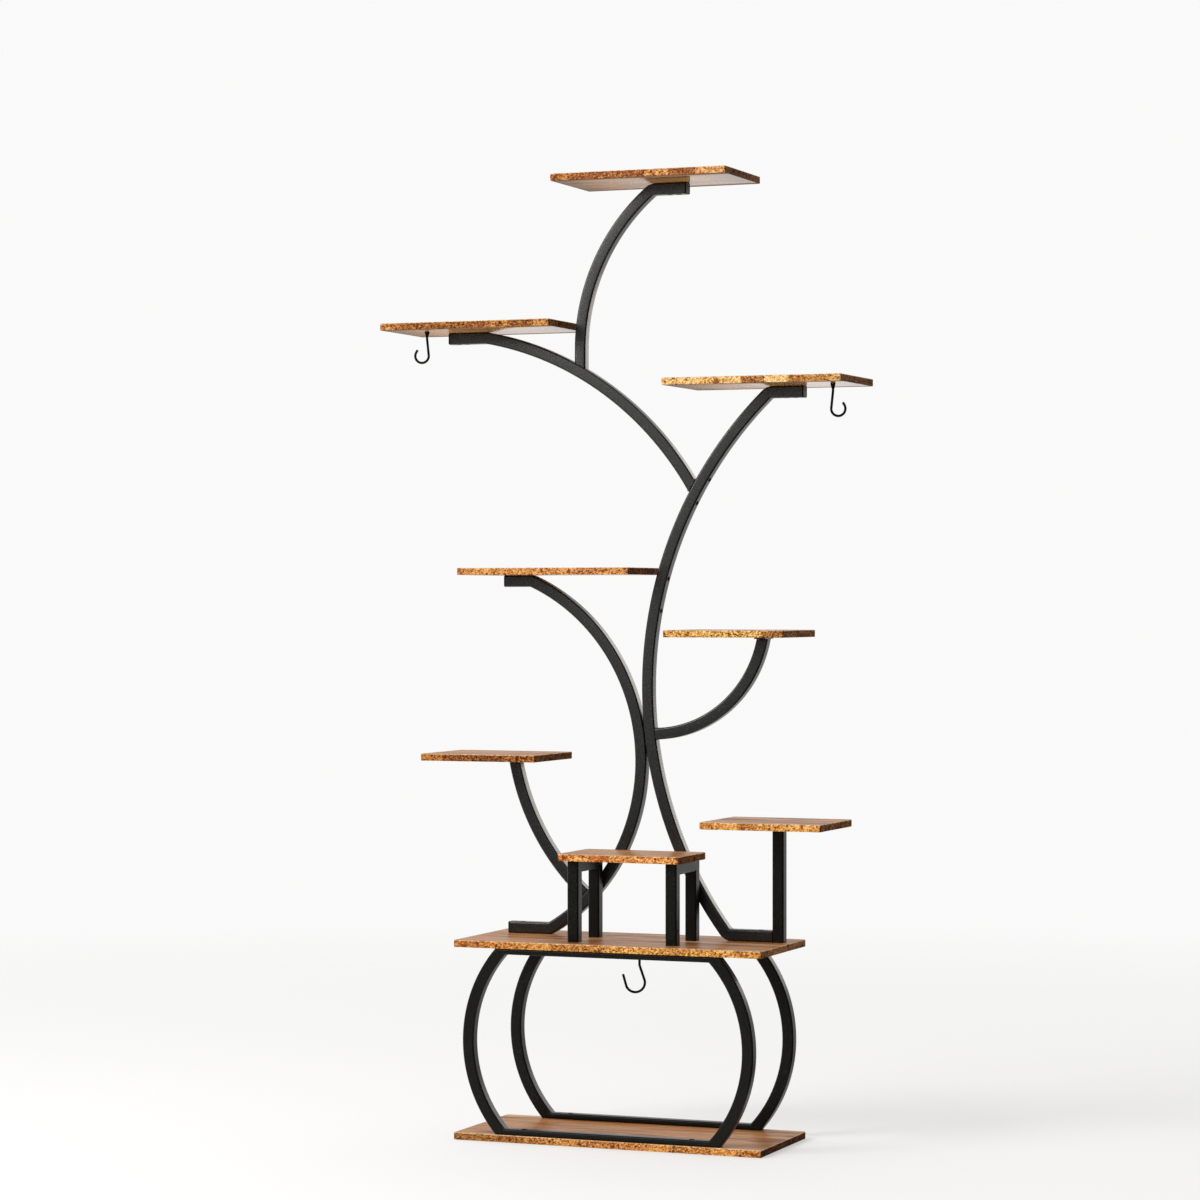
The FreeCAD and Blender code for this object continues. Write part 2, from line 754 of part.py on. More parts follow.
# Where each branch or post meets its plate: the middle of the tube at the plate's underside.
PLATE_X = {
    "middle_right": "middle_right_plate_x",
    "lower_left": "lower_left_plate_x",
    "lower_right": "post_x",
}
SHELF_X = {
    "middle_right": "middle_right_shelf_x",
    "lower_left": "lower_left_shelf_x",
    "lower_right": "post_x",
}
for name, plate_x in PLATE_X.items():
    screws = [(plate_x, f"({TREE} + {row})") for row in PLATE_ROWS]
    seat = f"(deck + {name}_seat)"
    board(
        f"{name}_shelf", "small_shelf_width", "small_shelf_depth", SHELF_X[name], "small_shelf_y", seat,
        under=screws,
    )
board(
    "riser_shelf", "riser_width", "riser_depth", "riser_x", "riser_y", "(deck + riser_seat)",
    under=RISER_LEGS, corner="riser",
)


# Holes for a screw that hides inside a tube.

def hidden_screw(x, y, seat, height, up):
    """Hole through the wall at a seat, and a wider one for the head through the wall a bar's height away."""
    start = f"{seat} - tube_wall - cut_margin" if up else f"{seat} - cut_margin"
    far = f"{seat} - {height} - cut_margin" if up else f"{seat} + {height} - tube_wall - cut_margin"
    thickness = "tube_wall + 2 * cut_margin"
    return [cylinder(x, y, start, "hole", thickness), cylinder(x, y, far, "access", thickness)]


# Lantern frames.

def lantern_ring(sketch, half_height, radius):
    """Closed outline of two level lines joined by two bulging arcs."""
    half = number(half_height)
    big = number(radius)
    shift = number("lantern_reach - lantern_side_radius")
    angle = math.asin(half / big)
    corner = shift + big * math.cos(angle)
    low = sketch.addGeometry(Part.LineSegment(Vector(-corner, -half), Vector(corner, -half)))
    bulge = Part.Circle(Vector(shift, 0), AXES["z"], big)
    right = sketch.addGeometry(Part.ArcOfCircle(bulge, -angle, angle))
    high = sketch.addGeometry(Part.LineSegment(Vector(corner, half), Vector(-corner, half)))
    bulge = Part.Circle(Vector(-shift, 0), AXES["z"], big)
    left = sketch.addGeometry(Part.ArcOfCircle(bulge, math.pi - angle, math.pi + angle))
    chain = [low, right, high, left]
    for i in range(4):
        sketch.addConstraint(Constraint("Coincident", chain[i], 2, chain[(i + 1) % 4], 1))
    for line in (low, high):
        sketch.addConstraint(Constraint("Horizontal", line))
    for arc in (left, right):
        sketch.addConstraint(Constraint("PointOnObject", arc, 3, -1))
    sketch.addConstraint(Constraint("Equal", left, right))
    dimension(sketch, "Radius", right, text=radius)
    dimension(sketch, "DistanceX", -1, 1, right, 3, text="lantern_reach - lantern_side_radius")
    dimension(sketch, "DistanceX", left, 3, -1, 1, text="lantern_reach - lantern_side_radius")
    dimension(sketch, "DistanceY", -1, 1, high, 1, text=half_height)
    dimension(sketch, "DistanceY", low, 1, -1, 1, text=half_height)


def lantern_frame(label, y):
    body = make_body(f"{label}_tube")
    middle = "board_thickness + lantern_height / 2"
    outline = make_sketch(body, f"{label}_outline", "XZ_Plane", up=middle)
    lantern_ring(outline, "lantern_height / 2", "lantern_side_radius + tube_side / 2")
    lantern_ring(outline, "lantern_height / 2 - lantern_bar_height", "lantern_side_radius - tube_side / 2")
    extrude(body, "Pad", outline, "tube_side", symmetric=True)
    hollow = make_sketch(body, f"{label}_hollow", "XZ_Plane", up=middle)
    lantern_ring(hollow, "lantern_height / 2 - tube_wall", "lantern_side_radius + tube_side / 2 - tube_wall")
    lantern_ring(
        hollow,
        "lantern_height / 2 - lantern_bar_height + tube_wall",
        "lantern_side_radius - tube_side / 2 + tube_wall",
    )
    extrude(body, "Pocket", hollow, "core", symmetric=True)
    move(body, "0", y, "0")
    tools = []
    for x in ("-lantern_screw_x", "lantern_screw_x"):
        tools += hidden_screw(x, y, "board_thickness", "lantern_bar_height", up=False)
        tools += hidden_screw(x, y, "middle", "lantern_bar_height", up=True)
    return keep(cut(label, body, tools))


lantern_frame("front_lantern_frame", "-lantern_y")
lantern_frame("rear_lantern_frame", "lantern_y")


# Trunks and branches.

def arm_bores(name):
    """Holes for the screws that hold a shelf to the arm under it."""
    tools = []
    for x in arm_places(*ARMS[name]):
        tools += hidden_screw(x, TREE, f"deck + {name}_seat", "tube_side", up=True)
    return tools


RIGHT_FOOT_X = "(post_x - tube_side / 2)"

lower_trunk = arc_tube(
    "right_trunk_lower", -1, "trunk_x", "trunk_z", "trunk_radius",
    top="trunk_seam_height", bottom=(RIGHT_FOOT_X, "foot_level"),
)
lower_trunk_bores = hidden_screw(RIGHT_FOOT_SCREW, TREE, "deck", "tube_side", up=False)
lower_trunk_bores.append(turned_bore(on_trunk(SLEEVE_SCREWS[0], "trunk_inner"), "hole", "tube_wall"))
lower_trunk_bores.append(turned_bore(TRUNK_BOLT, "hole", "2 * tube_side"))
keep(cut("right_trunk_lower", lower_trunk, lower_trunk_bores))

upper_trunk = arc_tube(
    "right_trunk_upper", -1, "trunk_x", "trunk_z", "trunk_radius",
    top=("upper_right_tip_x", "upper_right_level"), bottom="trunk_seam_height",
)
upper_trunk_bores = arm_bores("upper_right")
upper_trunk_bores.append(turned_bore(on_trunk(SLEEVE_SCREWS[1], "trunk_inner"), "hole", "tube_wall"))
for angle in SADDLE_BOLTS:
    upper_trunk_bores.append(turned_bore(on_trunk(angle, "trunk_inner"), "hole", "tube_wall"))
neck_slot = trunk_sector(
    "neck_slot", "saddle_angle", "(trunk_radius + tube_side / 2 - tube_wall / 2)",
    "(tube_wall + 2 * cut_margin)",
    "(saddle_neck_depth + 2 * saddle_neck_clearance)",
    "(saddle_neck_length + 2 * saddle_neck_clearance)",
)
upper_trunk_bores.append(neck_slot)
keep(cut("right_trunk_upper", upper_trunk, upper_trunk_bores))

SLEEVE_SIDE = "(core - 2 * sleeve_clearance)"
sleeve = trunk_sector(
    "trunk_sleeve_blank", "seam_angle", "trunk_radius", SLEEVE_SIDE, SLEEVE_SIDE, "sleeve_length",
    core=f"({SLEEVE_SIDE} - 2 * sleeve_wall)",
)
SLEEVE_REACH = "(tube_wall + sleeve_clearance + sleeve_wall)"
sleeve_bores = []
for angle in SLEEVE_SCREWS:
    sleeve_bores.append(turned_bore(on_trunk(angle, "trunk_inner"), "screw_radius", SLEEVE_REACH))
keep(cut("trunk_sleeve", sleeve, sleeve_bores))

left_trunk = arc_tube(
    "left_trunk", 1, "left_x", "left_z", "left_radius",
    top=("middle_left_tip_x", "middle_left_level"), bottom=("left_foot_x", "foot_level"),
)
left_trunk_bores = arm_bores("middle_left")
left_trunk_bores += hidden_screw(LEFT_FOOT_SCREW, TREE, "deck", "tube_side", up=False)
left_trunk_bores.append(turned_bore(TRUNK_BOLT, "hole", "2 * tube_side"))
keep(cut("left_trunk", left_trunk, left_trunk_bores))

# A raw branch runs on into what it meets and is trimmed to that face.
upper_left = arc_tube(
    "upper_left_branch", 1, "upper_left_x", "upper_left_z", "upper_left_radius",
    top=("upper_left_tip_x", "upper_left_level"), bottom="(upper_left_z + upper_left_radius / 5)",
)
upper_left_tools = arm_bores("upper_left")
upper_left_tools.append(drum("trunk_x", "deck + trunk_z", "saddle_face"))
keep(cut("upper_left_branch", upper_left, upper_left_tools))

# The foot's outer plate, a neck through the trunk's wall and the strip inside the trunk.
saddle_plate = trunk_sector(
    "saddle_plate", "saddle_angle", "(saddle_face - plate_thickness / 2)",
    "plate_thickness", "tube_side", "saddle_foot",
)
saddle_neck = trunk_sector(
    "saddle_neck", "saddle_angle", "(strip_inner / 2 + saddle_face / 2)",
    "(saddle_face - strip_inner - plate_thickness)", "saddle_neck_depth", "saddle_neck_length",
)
saddle_strip = trunk_sector(
    "saddle_strip", "saddle_angle", "(strip_outer - plate_thickness / 2)",
    "plate_thickness", "(core - 2 * sleeve_clearance)", "saddle_strip_length",
)
saddle = fuse("upper_left_saddle", [saddle_plate, saddle_neck, saddle_strip])
saddle_bores = []
for angle in SADDLE_BOLTS:
    saddle_bores.append(turned_bore(on_trunk(angle, "strip_inner"), "screw_radius", "plate_thickness"))
keep(cut("upper_left_saddle", saddle, saddle_bores))

top_branch = arc_tube(
    "top_branch", -1, "top_x", "top_z", "top_radius",
    top=("top_tip_x", "top_level"), bottom=(None, "(upper_left_z + upper_left_radius / 2)"),
)
top_tools = arm_bores("top")
top_tools.append(drum("upper_left_x", "deck + upper_left_z", "upper_left_radius + tube_side / 2"))
keep(cut("top_branch", top_branch, top_tools))


def plate_branch(label, side, drum_x, drum_z, drum_radius):
    """Branch that rises to a shelf plate from the inner face of a trunk."""
    x = f"{label}_x"
    z = f"{label}_z"
    radius = f"{label}_radius"
    raw = turned_tube(f"{label}_branch", side, x, z, radius, "branch_raw_sweep")
    trimmed = common(f"{label}_branch", raw, drum(drum_x, f"deck + {drum_z}", drum_radius))
    above = box(
        f"{x} + {side} * {radius} - 2 * tube_side",
        f"{TREE} - tube_side",
        f"deck + {label}_seat - plate_thickness",
        "4 * tube_side",
        "2 * tube_side",
        radius,
    )
    return keep(cut(f"{label}_branch", trimmed, [above]))


plate_branch("middle_right", 1, "trunk_x", "trunk_z", "trunk_inner")
plate_branch("lower_left", -1, "left_x", "left_z", "left_inner")


# Post, plates and riser legs.

def right_post():
    body = make_body("right_post")
    section = make_sketch(body, "right_post_section", "XY_Plane")
    tube_profile(section)
    extrude(body, "Pad", section, "lower_right_seat - plate_thickness")
    return keep(move(body, "post_x", TREE, "deck"))


def shelf_plate(name, x):
    body = make_body(f"{name}_plate_blank")
    outline = make_sketch(body, f"{name}_plate_outline", "XY_Plane")
    rectangle(outline, "tube_side", "plate_length")
    extrude(body, "Pad", outline, "plate_thickness")
    z = f"deck + {name}_seat - plate_thickness"
    move(body, x, TREE, z)
    height = "plate_thickness + 2 * cut_margin"
    tools = [cylinder(x, f"{TREE} + {row}", f"{z} - cut_margin", "hole", height) for row in PLATE_ROWS]
    return keep(cut(f"{name}_plate", body, tools))


def arch(sketch, width, height, band):
    """Inverted U that stands on the X axis, in the middle of the sketch."""
    half = number(f"{width} / 2")
    tall = number(height)
    thick = number(band)
    points = [
        (-half, 0),
        (thick - half, 0),
        (thick - half, tall - thick),
        (half - thick, tall - thick),
        (half - thick, 0),
        (half, 0),
        (half, tall),
        (-half, tall),
    ]
    lines = polygon(sketch, points)
    sketch.addConstraint(Constraint("Symmetric", lines[0], 1, lines[4], 2, -1, 1))
    sketch.addConstraint(Constraint("Equal", lines[0], lines[4]))
    dimension(sketch, "Distance", lines[6], text=width)
    dimension(sketch, "Distance", lines[5], text=height)
    dimension(sketch, "Distance", lines[0], text=band)
    dimension(sketch, "Distance", lines[1], text=f"{height} - {band}")


def riser_legs(label, side):
    body = make_body(f"{label}_tube")
    outline = make_sketch(body, f"{label}_outline", "YZ_Plane")
    arch(outline, "riser_leg_depth", "riser_seat", "tube_side")
    extrude(body, "Pad", outline, "tube_side", symmetric=True)
    hollow = make_sketch(body, f"{label}_hollow", "YZ_Plane")
    arch(hollow, "(riser_leg_depth - 2 * tube_wall)", "(riser_seat - tube_wall)", "core")
    extrude(body, "Pocket", hollow, "core", symmetric=True)
    x = f"riser_x + {side} * riser_leg_x"
    move(body, x, "riser_leg_y", "deck")
    start = "deck + riser_seat - tube_wall - cut_margin"
    tools = []
    for sign in (-1, 1):
        y = f"riser_leg_y + {sign} * riser_foot_y"
        tools.append(cylinder(x, y, start, "hole", "tube_wall + 2 * cut_margin"))
    return keep(cut(label, body, tools))


right_post()
for name, plate_x in PLATE_X.items():
    shelf_plate(name, plate_x)
riser_legs("riser_left_legs", -1)
riser_legs("riser_right_legs", 1)


# Plugs, inserts and fasteners.

for name, (tip_x, inward) in ARMS.items():
    outward = "0" if inward < 0 else "180"
    place = copy_of(plug, tip_x, TREE, f"deck + {name}_level", "z", outward)
    keep(group(f"{name}_arm_plug", [place]))
keep(group("left_foot_plug", [copy_of(plug, "left_foot_x", TREE, "deck + foot_level", "z", "180")]))

keep(group("riser_leg_inserts", [copy_of(insert, x, y, "deck") for x, y in RISER_LEGS]))
keep(group("post_insert", [copy_of(insert, "post_x", TREE, "deck")]))

FLIPPED = {"axis": "x", "angle": "180"}
low_wall = "board_thickness + tube_wall"
keep(group("bottom_board_screws", [copy_of(arm_screw, x, y, low_wall) for x, y in LANTERN_SCREWS]))
screws = [copy_of(arm_screw, x, y, "middle - tube_wall", **FLIPPED) for x, y in LANTERN_SCREWS]
keep(group("middle_board_screws", screws))
for name, (tip_x, inward) in ARMS.items():
    under = f"deck + {name}_seat - tube_wall"
    screws = [copy_of(arm_screw, x, TREE, under, **FLIPPED) for x in arm_places(tip_x, inward)]
    keep(group(f"{name}_shelf_screws", screws))
for name, plate_x in PLATE_X.items():
    under = f"deck + {name}_seat - plate_thickness"
    screws = [copy_of(plate_screw, plate_x, f"{TREE} + {row}", under, **FLIPPED) for row in PLATE_ROWS]
    keep(group(f"{name}_shelf_screws", screws))
riser_under = "deck + riser_seat - tube_wall"
keep(group("riser_shelf_screws", [copy_of(arm_screw, x, y, riser_under, **FLIPPED) for x, y in RISER_LEGS]))
keep(group("riser_leg_screws", [copy_of(leg_screw, x, y, "middle", **FLIPPED) for x, y in RISER_LEGS]))
keep(group("post_screw", [copy_of(leg_screw, "post_x", TREE, "middle", **FLIPPED)]))
feet = (LEFT_FOOT_SCREW, RIGHT_FOOT_SCREW)
keep(group("foot_screws", [copy_of(arm_screw, x, TREE, "deck + tube_wall") for x in feet]))
screws = [copy_of(sleeve_screw, **on_trunk(angle, "trunk_inner")) for angle in SLEEVE_SCREWS]
keep(group("sleeve_screws", screws))
bolts = [copy_of(saddle_bolt, **on_trunk(angle, "trunk_inner")) for angle in SADDLE_BOLTS]
keep(group("saddle_bolts", bolts))
nuts = [copy_of(nut, **on_trunk(angle, "nut_seat")) for angle in SADDLE_BOLTS]
keep(group("saddle_nuts", nuts))
keep(group("trunk_bolt", [copy_of(trunk_bolt, **TRUNK_BOLT)]))


# Hooks and their sockets. A hook's own frame has its shank on Z and the board's underside at zero.

def socket_template():
    body = make_body("socket")
    outline = make_sketch(body, "socket_outline", "XZ_Plane")
    bore = number("hook_bore")
    cavity = number("hook_head_radius + hook_head_clearance")
    outer = number("socket_radius")
    rim = number("collar_radius")
    tip = number("hook_bore + collar_wall")
    shoulder = number("socket_shoulder")
    depth = number("socket_depth")
    edge = number("collar_rim")
    low = number("collar_height")
    points = [
        (bore, -low),
        (tip, -low),
        (rim, -edge),
        (rim, 0),
        (outer, 0),
        (outer, depth),
        (cavity, depth),
        (cavity, shoulder),
        (bore, shoulder),
    ]
    lines = polygon(outline, points)
    dimension(outline, "DistanceX", -1, 1, lines[0], 1, text="hook_bore")
    dimension(outline, "Distance", lines[0], text="collar_wall")
    dimension(outline, "DistanceX", -1, 1, lines[2], 1, text="collar_radius")
    dimension(outline, "DistanceX", -1, 1, lines[4], 1, text="socket_radius")
    dimension(outline, "DistanceX", -1, 1, lines[6], 1, text="hook_head_radius + hook_head_clearance")
    outline.addConstraint(Constraint("PointOnObject", lines[3], 1, -1))
    dimension(outline, "Distance", lines[2], text="collar_rim")
    dimension(outline, "DistanceY", lines[0], 1, -1, 1, text="collar_height")
    dimension(outline, "Distance", lines[4], text="socket_depth")
    dimension(outline, "DistanceY", -1, 1, lines[7], 2, text="socket_shoulder")
    revolve(body, outline, "360")
    return body


def hook(label, size, x, y, z, angle):
    """Hook with a shank, a sway, an open loop, a straight tip and a head that turns in the socket."""
    neck_text = f"{size}_hook_neck"
    loop = f"{size}_hook_loop"
    offset = f"{size}_hook_offset"
    centre_depth = f"({size}_hook_drop - {loop})"
    body = make_body(label)
    path = make_sketch(body, f"{label}_path", "XZ_Plane")
    radius = number(loop)
    bend = number("hook_bend_radius")
    neck = number(neck_text)
    centre = Vector(number(offset), -number(centre_depth))
    corner = Vector(0, -neck)
    reach = centre - corner
    lean = math.asin(radius / reach.Length) - math.atan2(reach.x, -reach.y)
    along = Vector(-math.sin(lean), -math.cos(lean))
    run = math.sqrt(reach.Length ** 2 - radius ** 2)
    touch = corner + along * run
    back = bend * math.tan(lean / 2)
    sway_start = corner + Vector(0, back)
    sway_end = corner + along * back
    sway_centre = sway_start + Vector(-bend, 0)
    open_angle = math.radians(number(f"{size}_hook_curl"))
    curl_end = centre + Vector(math.cos(open_angle), math.sin(open_angle)) * radius
    tip_end = curl_end + Vector(-math.sin(open_angle), math.cos(open_angle)) * number(f"{size}_hook_tip")
    shank = path.addGeometry(Part.LineSegment(Vector(0, number("hook_head_seat")), sway_start))
    sway = path.addGeometry(Part.ArcOfCircle(Part.Circle(sway_centre, AXES["z"], bend), -lean, 0))
    side = path.addGeometry(Part.LineSegment(sway_end, touch))
    rounded = Part.Circle(centre, AXES["z"], radius)
    curl = path.addGeometry(Part.ArcOfCircle(rounded, math.pi - lean, 2 * math.pi + open_angle))
    tip = path.addGeometry(Part.LineSegment(curl_end, tip_end))
    path.addConstraint(Constraint("PointOnObject", shank, 1, -2))
    path.addConstraint(Constraint("Vertical", shank))
    path.addConstraint(Constraint("Tangent", shank, 2, sway, 2))
    path.addConstraint(Constraint("Tangent", sway, 1, side, 1))
    path.addConstraint(Constraint("Tangent", side, 2, curl, 1))
    path.addConstraint(Constraint("Tangent", curl, 2, tip, 1))
    dimension(path, "DistanceY", -1, 1, shank, 1, text="hook_head_seat")
    dimension(path, "DistanceY", shank, 2, -1, 1, text=neck_text)
    dimension(path, "Radius", sway, text="hook_bend_radius")
    dimension(path, "Radius", curl, text=loop)
    dimension(path, "DistanceX", -1, 1, curl, 3, text=offset)
    dimension(path, "DistanceY", curl, 3, -1, 1, text=centre_depth)
    dimension(path, "DistanceY", curl, 3, curl, 2, text=f"{loop} * sin({size}_hook_curl)")
    dimension(path, "Distance", tip, text=f"{size}_hook_tip")
    wire = make_sketch(body, f"{label}_wire", "XY_Plane", out="hook_head_seat")
    circle(wire, "hook_wire_radius")
    sweep(body, wire, path)
    head = make_sketch(body, f"{label}_head", "XY_Plane", out="hook_head_seat")
    circle(head, "hook_head_radius")
    extrude(body, "Pad", head, "hook_head_height")
    turn(body, "z", angle)
    return keep(move(body, x, y, z))


socket = socket_template()
UPPER_LEFT_UNDER = "(deck + upper_left_seat)"
UPPER_RIGHT_UNDER = "(deck + upper_right_seat)"
HOOKS = {
    "left_hook": ("upper", "left_hook_x", "left_hook_y", UPPER_LEFT_UNDER, "left_hook_turn"),
    "right_hook": ("upper", "right_hook_x", "right_hook_y", UPPER_RIGHT_UNDER, "right_hook_turn"),
    "lower_hook": ("lower", "lower_hook_shift", "-lower_hook_forward", "middle", "lower_hook_turn"),
}
for label, (size, x, y, z, angle) in HOOKS.items():
    hook(label, size, x, y, z, angle)
    keep(group(f"{label}_socket", [copy_of(socket, x, y, z)]))


# Rebuild, check and write.

doc.removeObject(probe.Name)
doc.recompute()
for item in doc.Objects:
    if "Invalid" in item.State or "Error" in item.State:
        raise RuntimeError(f"{item.Label} failed to rebuild: {item.State}")
for piece in parts:
    if piece.Shape.isNull() or not piece.Shape.isValid():
        raise RuntimeError(f"{piece.Label} has no valid shape")

os.makedirs("parts", exist_ok=True)
for piece in parts:
    piece.Shape.exportStep(f"parts/{piece.Label}.step")
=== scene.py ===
import json
import math

import bmesh
import bpy
import numpy as np
from mathutils import Matrix, Vector
from mathutils.bvhtree import BVHTree


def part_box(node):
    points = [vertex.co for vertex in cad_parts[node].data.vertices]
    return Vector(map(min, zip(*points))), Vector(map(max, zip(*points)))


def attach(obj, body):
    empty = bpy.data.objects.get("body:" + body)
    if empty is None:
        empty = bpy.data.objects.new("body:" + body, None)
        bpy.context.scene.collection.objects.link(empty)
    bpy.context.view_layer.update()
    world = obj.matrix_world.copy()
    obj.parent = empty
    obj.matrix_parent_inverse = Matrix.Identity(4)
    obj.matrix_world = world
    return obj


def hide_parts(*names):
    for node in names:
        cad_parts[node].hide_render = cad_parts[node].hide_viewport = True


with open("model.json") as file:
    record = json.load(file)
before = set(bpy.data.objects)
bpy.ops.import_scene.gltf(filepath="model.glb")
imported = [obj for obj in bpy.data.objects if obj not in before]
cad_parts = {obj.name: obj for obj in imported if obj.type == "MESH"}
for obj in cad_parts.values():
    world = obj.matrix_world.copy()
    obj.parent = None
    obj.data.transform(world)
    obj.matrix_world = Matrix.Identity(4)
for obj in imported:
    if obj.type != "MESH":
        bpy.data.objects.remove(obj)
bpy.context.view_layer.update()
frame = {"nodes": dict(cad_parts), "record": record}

# Plant stand of bent square tube with ten boards. Lengths are in metres.

BODIES = frame["record"]["behaviour"]["bodies"]
BODY_OF = {node: body for body, nodes in BODIES.items() for node in nodes}


# Material helpers.

EVEN = (1.0, 1.0, 1.0)
WHITE = (1.0, 1.0, 1.0)
NOISE_RANGE = (0.3, 0.7)
RAGGED_ENDS = 0.2


def srgb(red, green, blue):
    """Linear colour of an 8-bit screen colour."""
    out = []
    for value in (red, green, blue):
        part = value / 255
        out.append(part / 12.92 if part <= 0.04045 else ((part + 0.055) / 1.055) ** 2.4)
    return (*out, 1.0)


class Nodes:
    """Short calls for building a node tree."""

    def __init__(self, tree):
        self.tree = tree
        self.tree.nodes.clear()

    def add(self, kind, **values):
        node = self.tree.nodes.new(kind)
        for name, value in values.items():
            setattr(node, name, value)
        return node

    def link(self, source, target):
        self.tree.links.new(source, target)

    def feed(self, socket, value):
        """Links the socket to another one, or sets its constant value."""
        if isinstance(value, bpy.types.NodeSocket):
            self.link(value, socket)
        else:
            socket.default_value = value

    def place(self, stretch):
        """Object coordinates, scaled by axis."""
        coords = self.add("ShaderNodeTexCoord")
        mapping = self.add("ShaderNodeMapping")
        mapping.inputs["Scale"].default_value = stretch
        self.link(coords.outputs["Object"], mapping.inputs["Vector"])
        return mapping.outputs["Vector"]

    def noise(self, stretch, scale, detail, roughness, distortion=0.0):
        """Noise over the object coordinates; a small stretch on an axis draws it out along that axis."""
        node = self.add("ShaderNodeTexNoise")
        self.link(self.place(stretch), node.inputs["Vector"])
        node.inputs["Scale"].default_value = scale
        node.inputs["Detail"].default_value = detail
        node.inputs["Roughness"].default_value = roughness
        node.inputs["Distortion"].default_value = distortion
        return node.outputs["Fac"]

    def lengths(self, per_metre, phase, wander):
        """A random number for each uneven length along X and Y; wander makes the ends ragged."""
        axes = self.add("ShaderNodeSeparateXYZ")
        self.link(self.place(EVEN), axes.inputs[0])
        along = self.math("ADD", axes.outputs["X"], axes.outputs["Y"])
        along = self.math("ADD", self.math("MULTIPLY", along, per_metre), phase)
        along = self.math("ADD", along, self.math("MULTIPLY", wander, RAGGED_ENDS))
        cells = self.add("ShaderNodeTexVoronoi", voronoi_dimensions="1D")
        self.link(along, cells.inputs["W"])
        cells.inputs["Scale"].default_value = 1.0
        parts = self.add("ShaderNodeSeparateColor")
        self.link(cells.outputs["Color"], parts.inputs[0])
        return parts.outputs[0]

    def share(self, axis):
        """Place along an axis of the piece, from nought to one."""
        coords = self.add("ShaderNodeTexCoord")
        axes = self.add("ShaderNodeSeparateXYZ")
        self.link(coords.outputs["Generated"], axes.inputs[0])
        return axes.outputs[axis]

    def inward(self, axis, reach):
        """One over the middle of the piece, falling to nought at its two sides.

        Reach is the share of its length over which it falls.
        """
        place = self.share(axis)
        both = self.math("MULTIPLY", place, self.math("SUBTRACT", 1.0, place))
        return self.span(both, (0.0, reach * (1 - reach)), (0.0, 1.0))

    def ramp(self, value, stops):
        node = self.add("ShaderNodeValToRGB")
        self.link(value, node.inputs["Fac"])
        elements = node.color_ramp.elements
        while len(elements) < len(stops):
            elements.new(0.5)
        for element, (position, colour) in zip(elements, stops):
            element.position = position
            element.color = colour if len(colour) == 4 else (*colour, 1.0)
        return node.outputs["Color"]

    def span(self, value, source, target):
        """Carries a range of values over to another range, and holds it at the ends."""
        node = self.add("ShaderNodeMapRange")
        self.link(value, node.inputs["Value"])
        names = ("From Min", "From Max", "To Min", "To Max")
        for name, number in zip(names, (*source, *target)):
            node.inputs[name].default_value = number
        return node.outputs["Result"]

    def math(self, operation, first, second):
        node = self.add("ShaderNodeMath", operation=operation)
        self.feed(node.inputs[0], first)
        self.feed(node.inputs[1], second)
        return node.outputs[0]

    def mix(self, factor, first, second, blend="MIX"):
        node = self.add("ShaderNodeMix", data_type="RGBA", blend_type=blend)
        self.feed(node.inputs["Factor"], factor)
        self.feed(node.inputs[6], first)
        self.feed(node.inputs[7], second)
        return node.outputs[2]

    def lay(self, colour, over, mask, start, full, most):
        """Lays one colour over another as the mask goes from start to full, at most so far."""
        return self.mix(self.span(mask, (start, full), (0.0, most)), colour, over)

    def tone(self, colour, shades, amount=1.0):
        """Multiplies a colour by shades."""
        return self.mix(amount, colour, shades, "MULTIPLY")

    def uneven(self, noise, level, more, less):
        """Roughness about a level: more where the noise is low, less where it is high."""
        return self.span(noise, NOISE_RANGE, (level + more, level - less))

    def bump(self, height, strength, distance):
        node = self.add("ShaderNodeBump")
        node.inputs["Strength"].default_value = strength
        node.inputs["Distance"].default_value = distance
        self.link(height, node.inputs["Height"])
        return node.outputs["Normal"]

    def surface(self, colour, roughness, normal, **values):
        """Principled surface; the other values are constants."""
        shader = self.add("ShaderNodeBsdfPrincipled")
        self.link(colour, shader.inputs["Base Color"])
        self.link(roughness, shader.inputs["Roughness"])
        self.link(normal, shader.inputs["Normal"])
        for name, value in values.items():
            shader.inputs[name.replace("_", " ")].default_value = value
        self.output(shader)

    def plain(self, kind, colour):
        """Shader of one constant colour."""
        shader = self.add(kind)
        shader.inputs["Color"].default_value = (*colour, 1.0)
        return shader

    def mix_shaders(self, factor, first, second):
        node = self.add("ShaderNodeMixShader")
        self.link(factor, node.inputs[0])
        self.link(first.outputs[0], node.inputs[1])
        self.link(second.outputs[0], node.inputs[2])
        return node

    def output(self, shader, kind="ShaderNodeOutputMaterial"):
        self.link(shader.outputs[0], self.add(kind).inputs["Surface"])


def new_material(name):
    material = bpy.data.materials.new(name)
    material.use_nodes = True
    return material, Nodes(material.node_tree)


# Materials.

PAINTED_SHADE_REACH = 0.22
SIDE_REACH = 0.15
SIDE_DULLING = 2.4
DULL_LEFT = (0.10, 0.62)
EDGE_ROUGHNESS = 0.62
EDGE_SPECULAR = 0.01
EDGE_LENGTHS = 24.0
LEAN_END = 0.55
MOULD_SHADE = 0.7
MARK_SHADE = 0.6


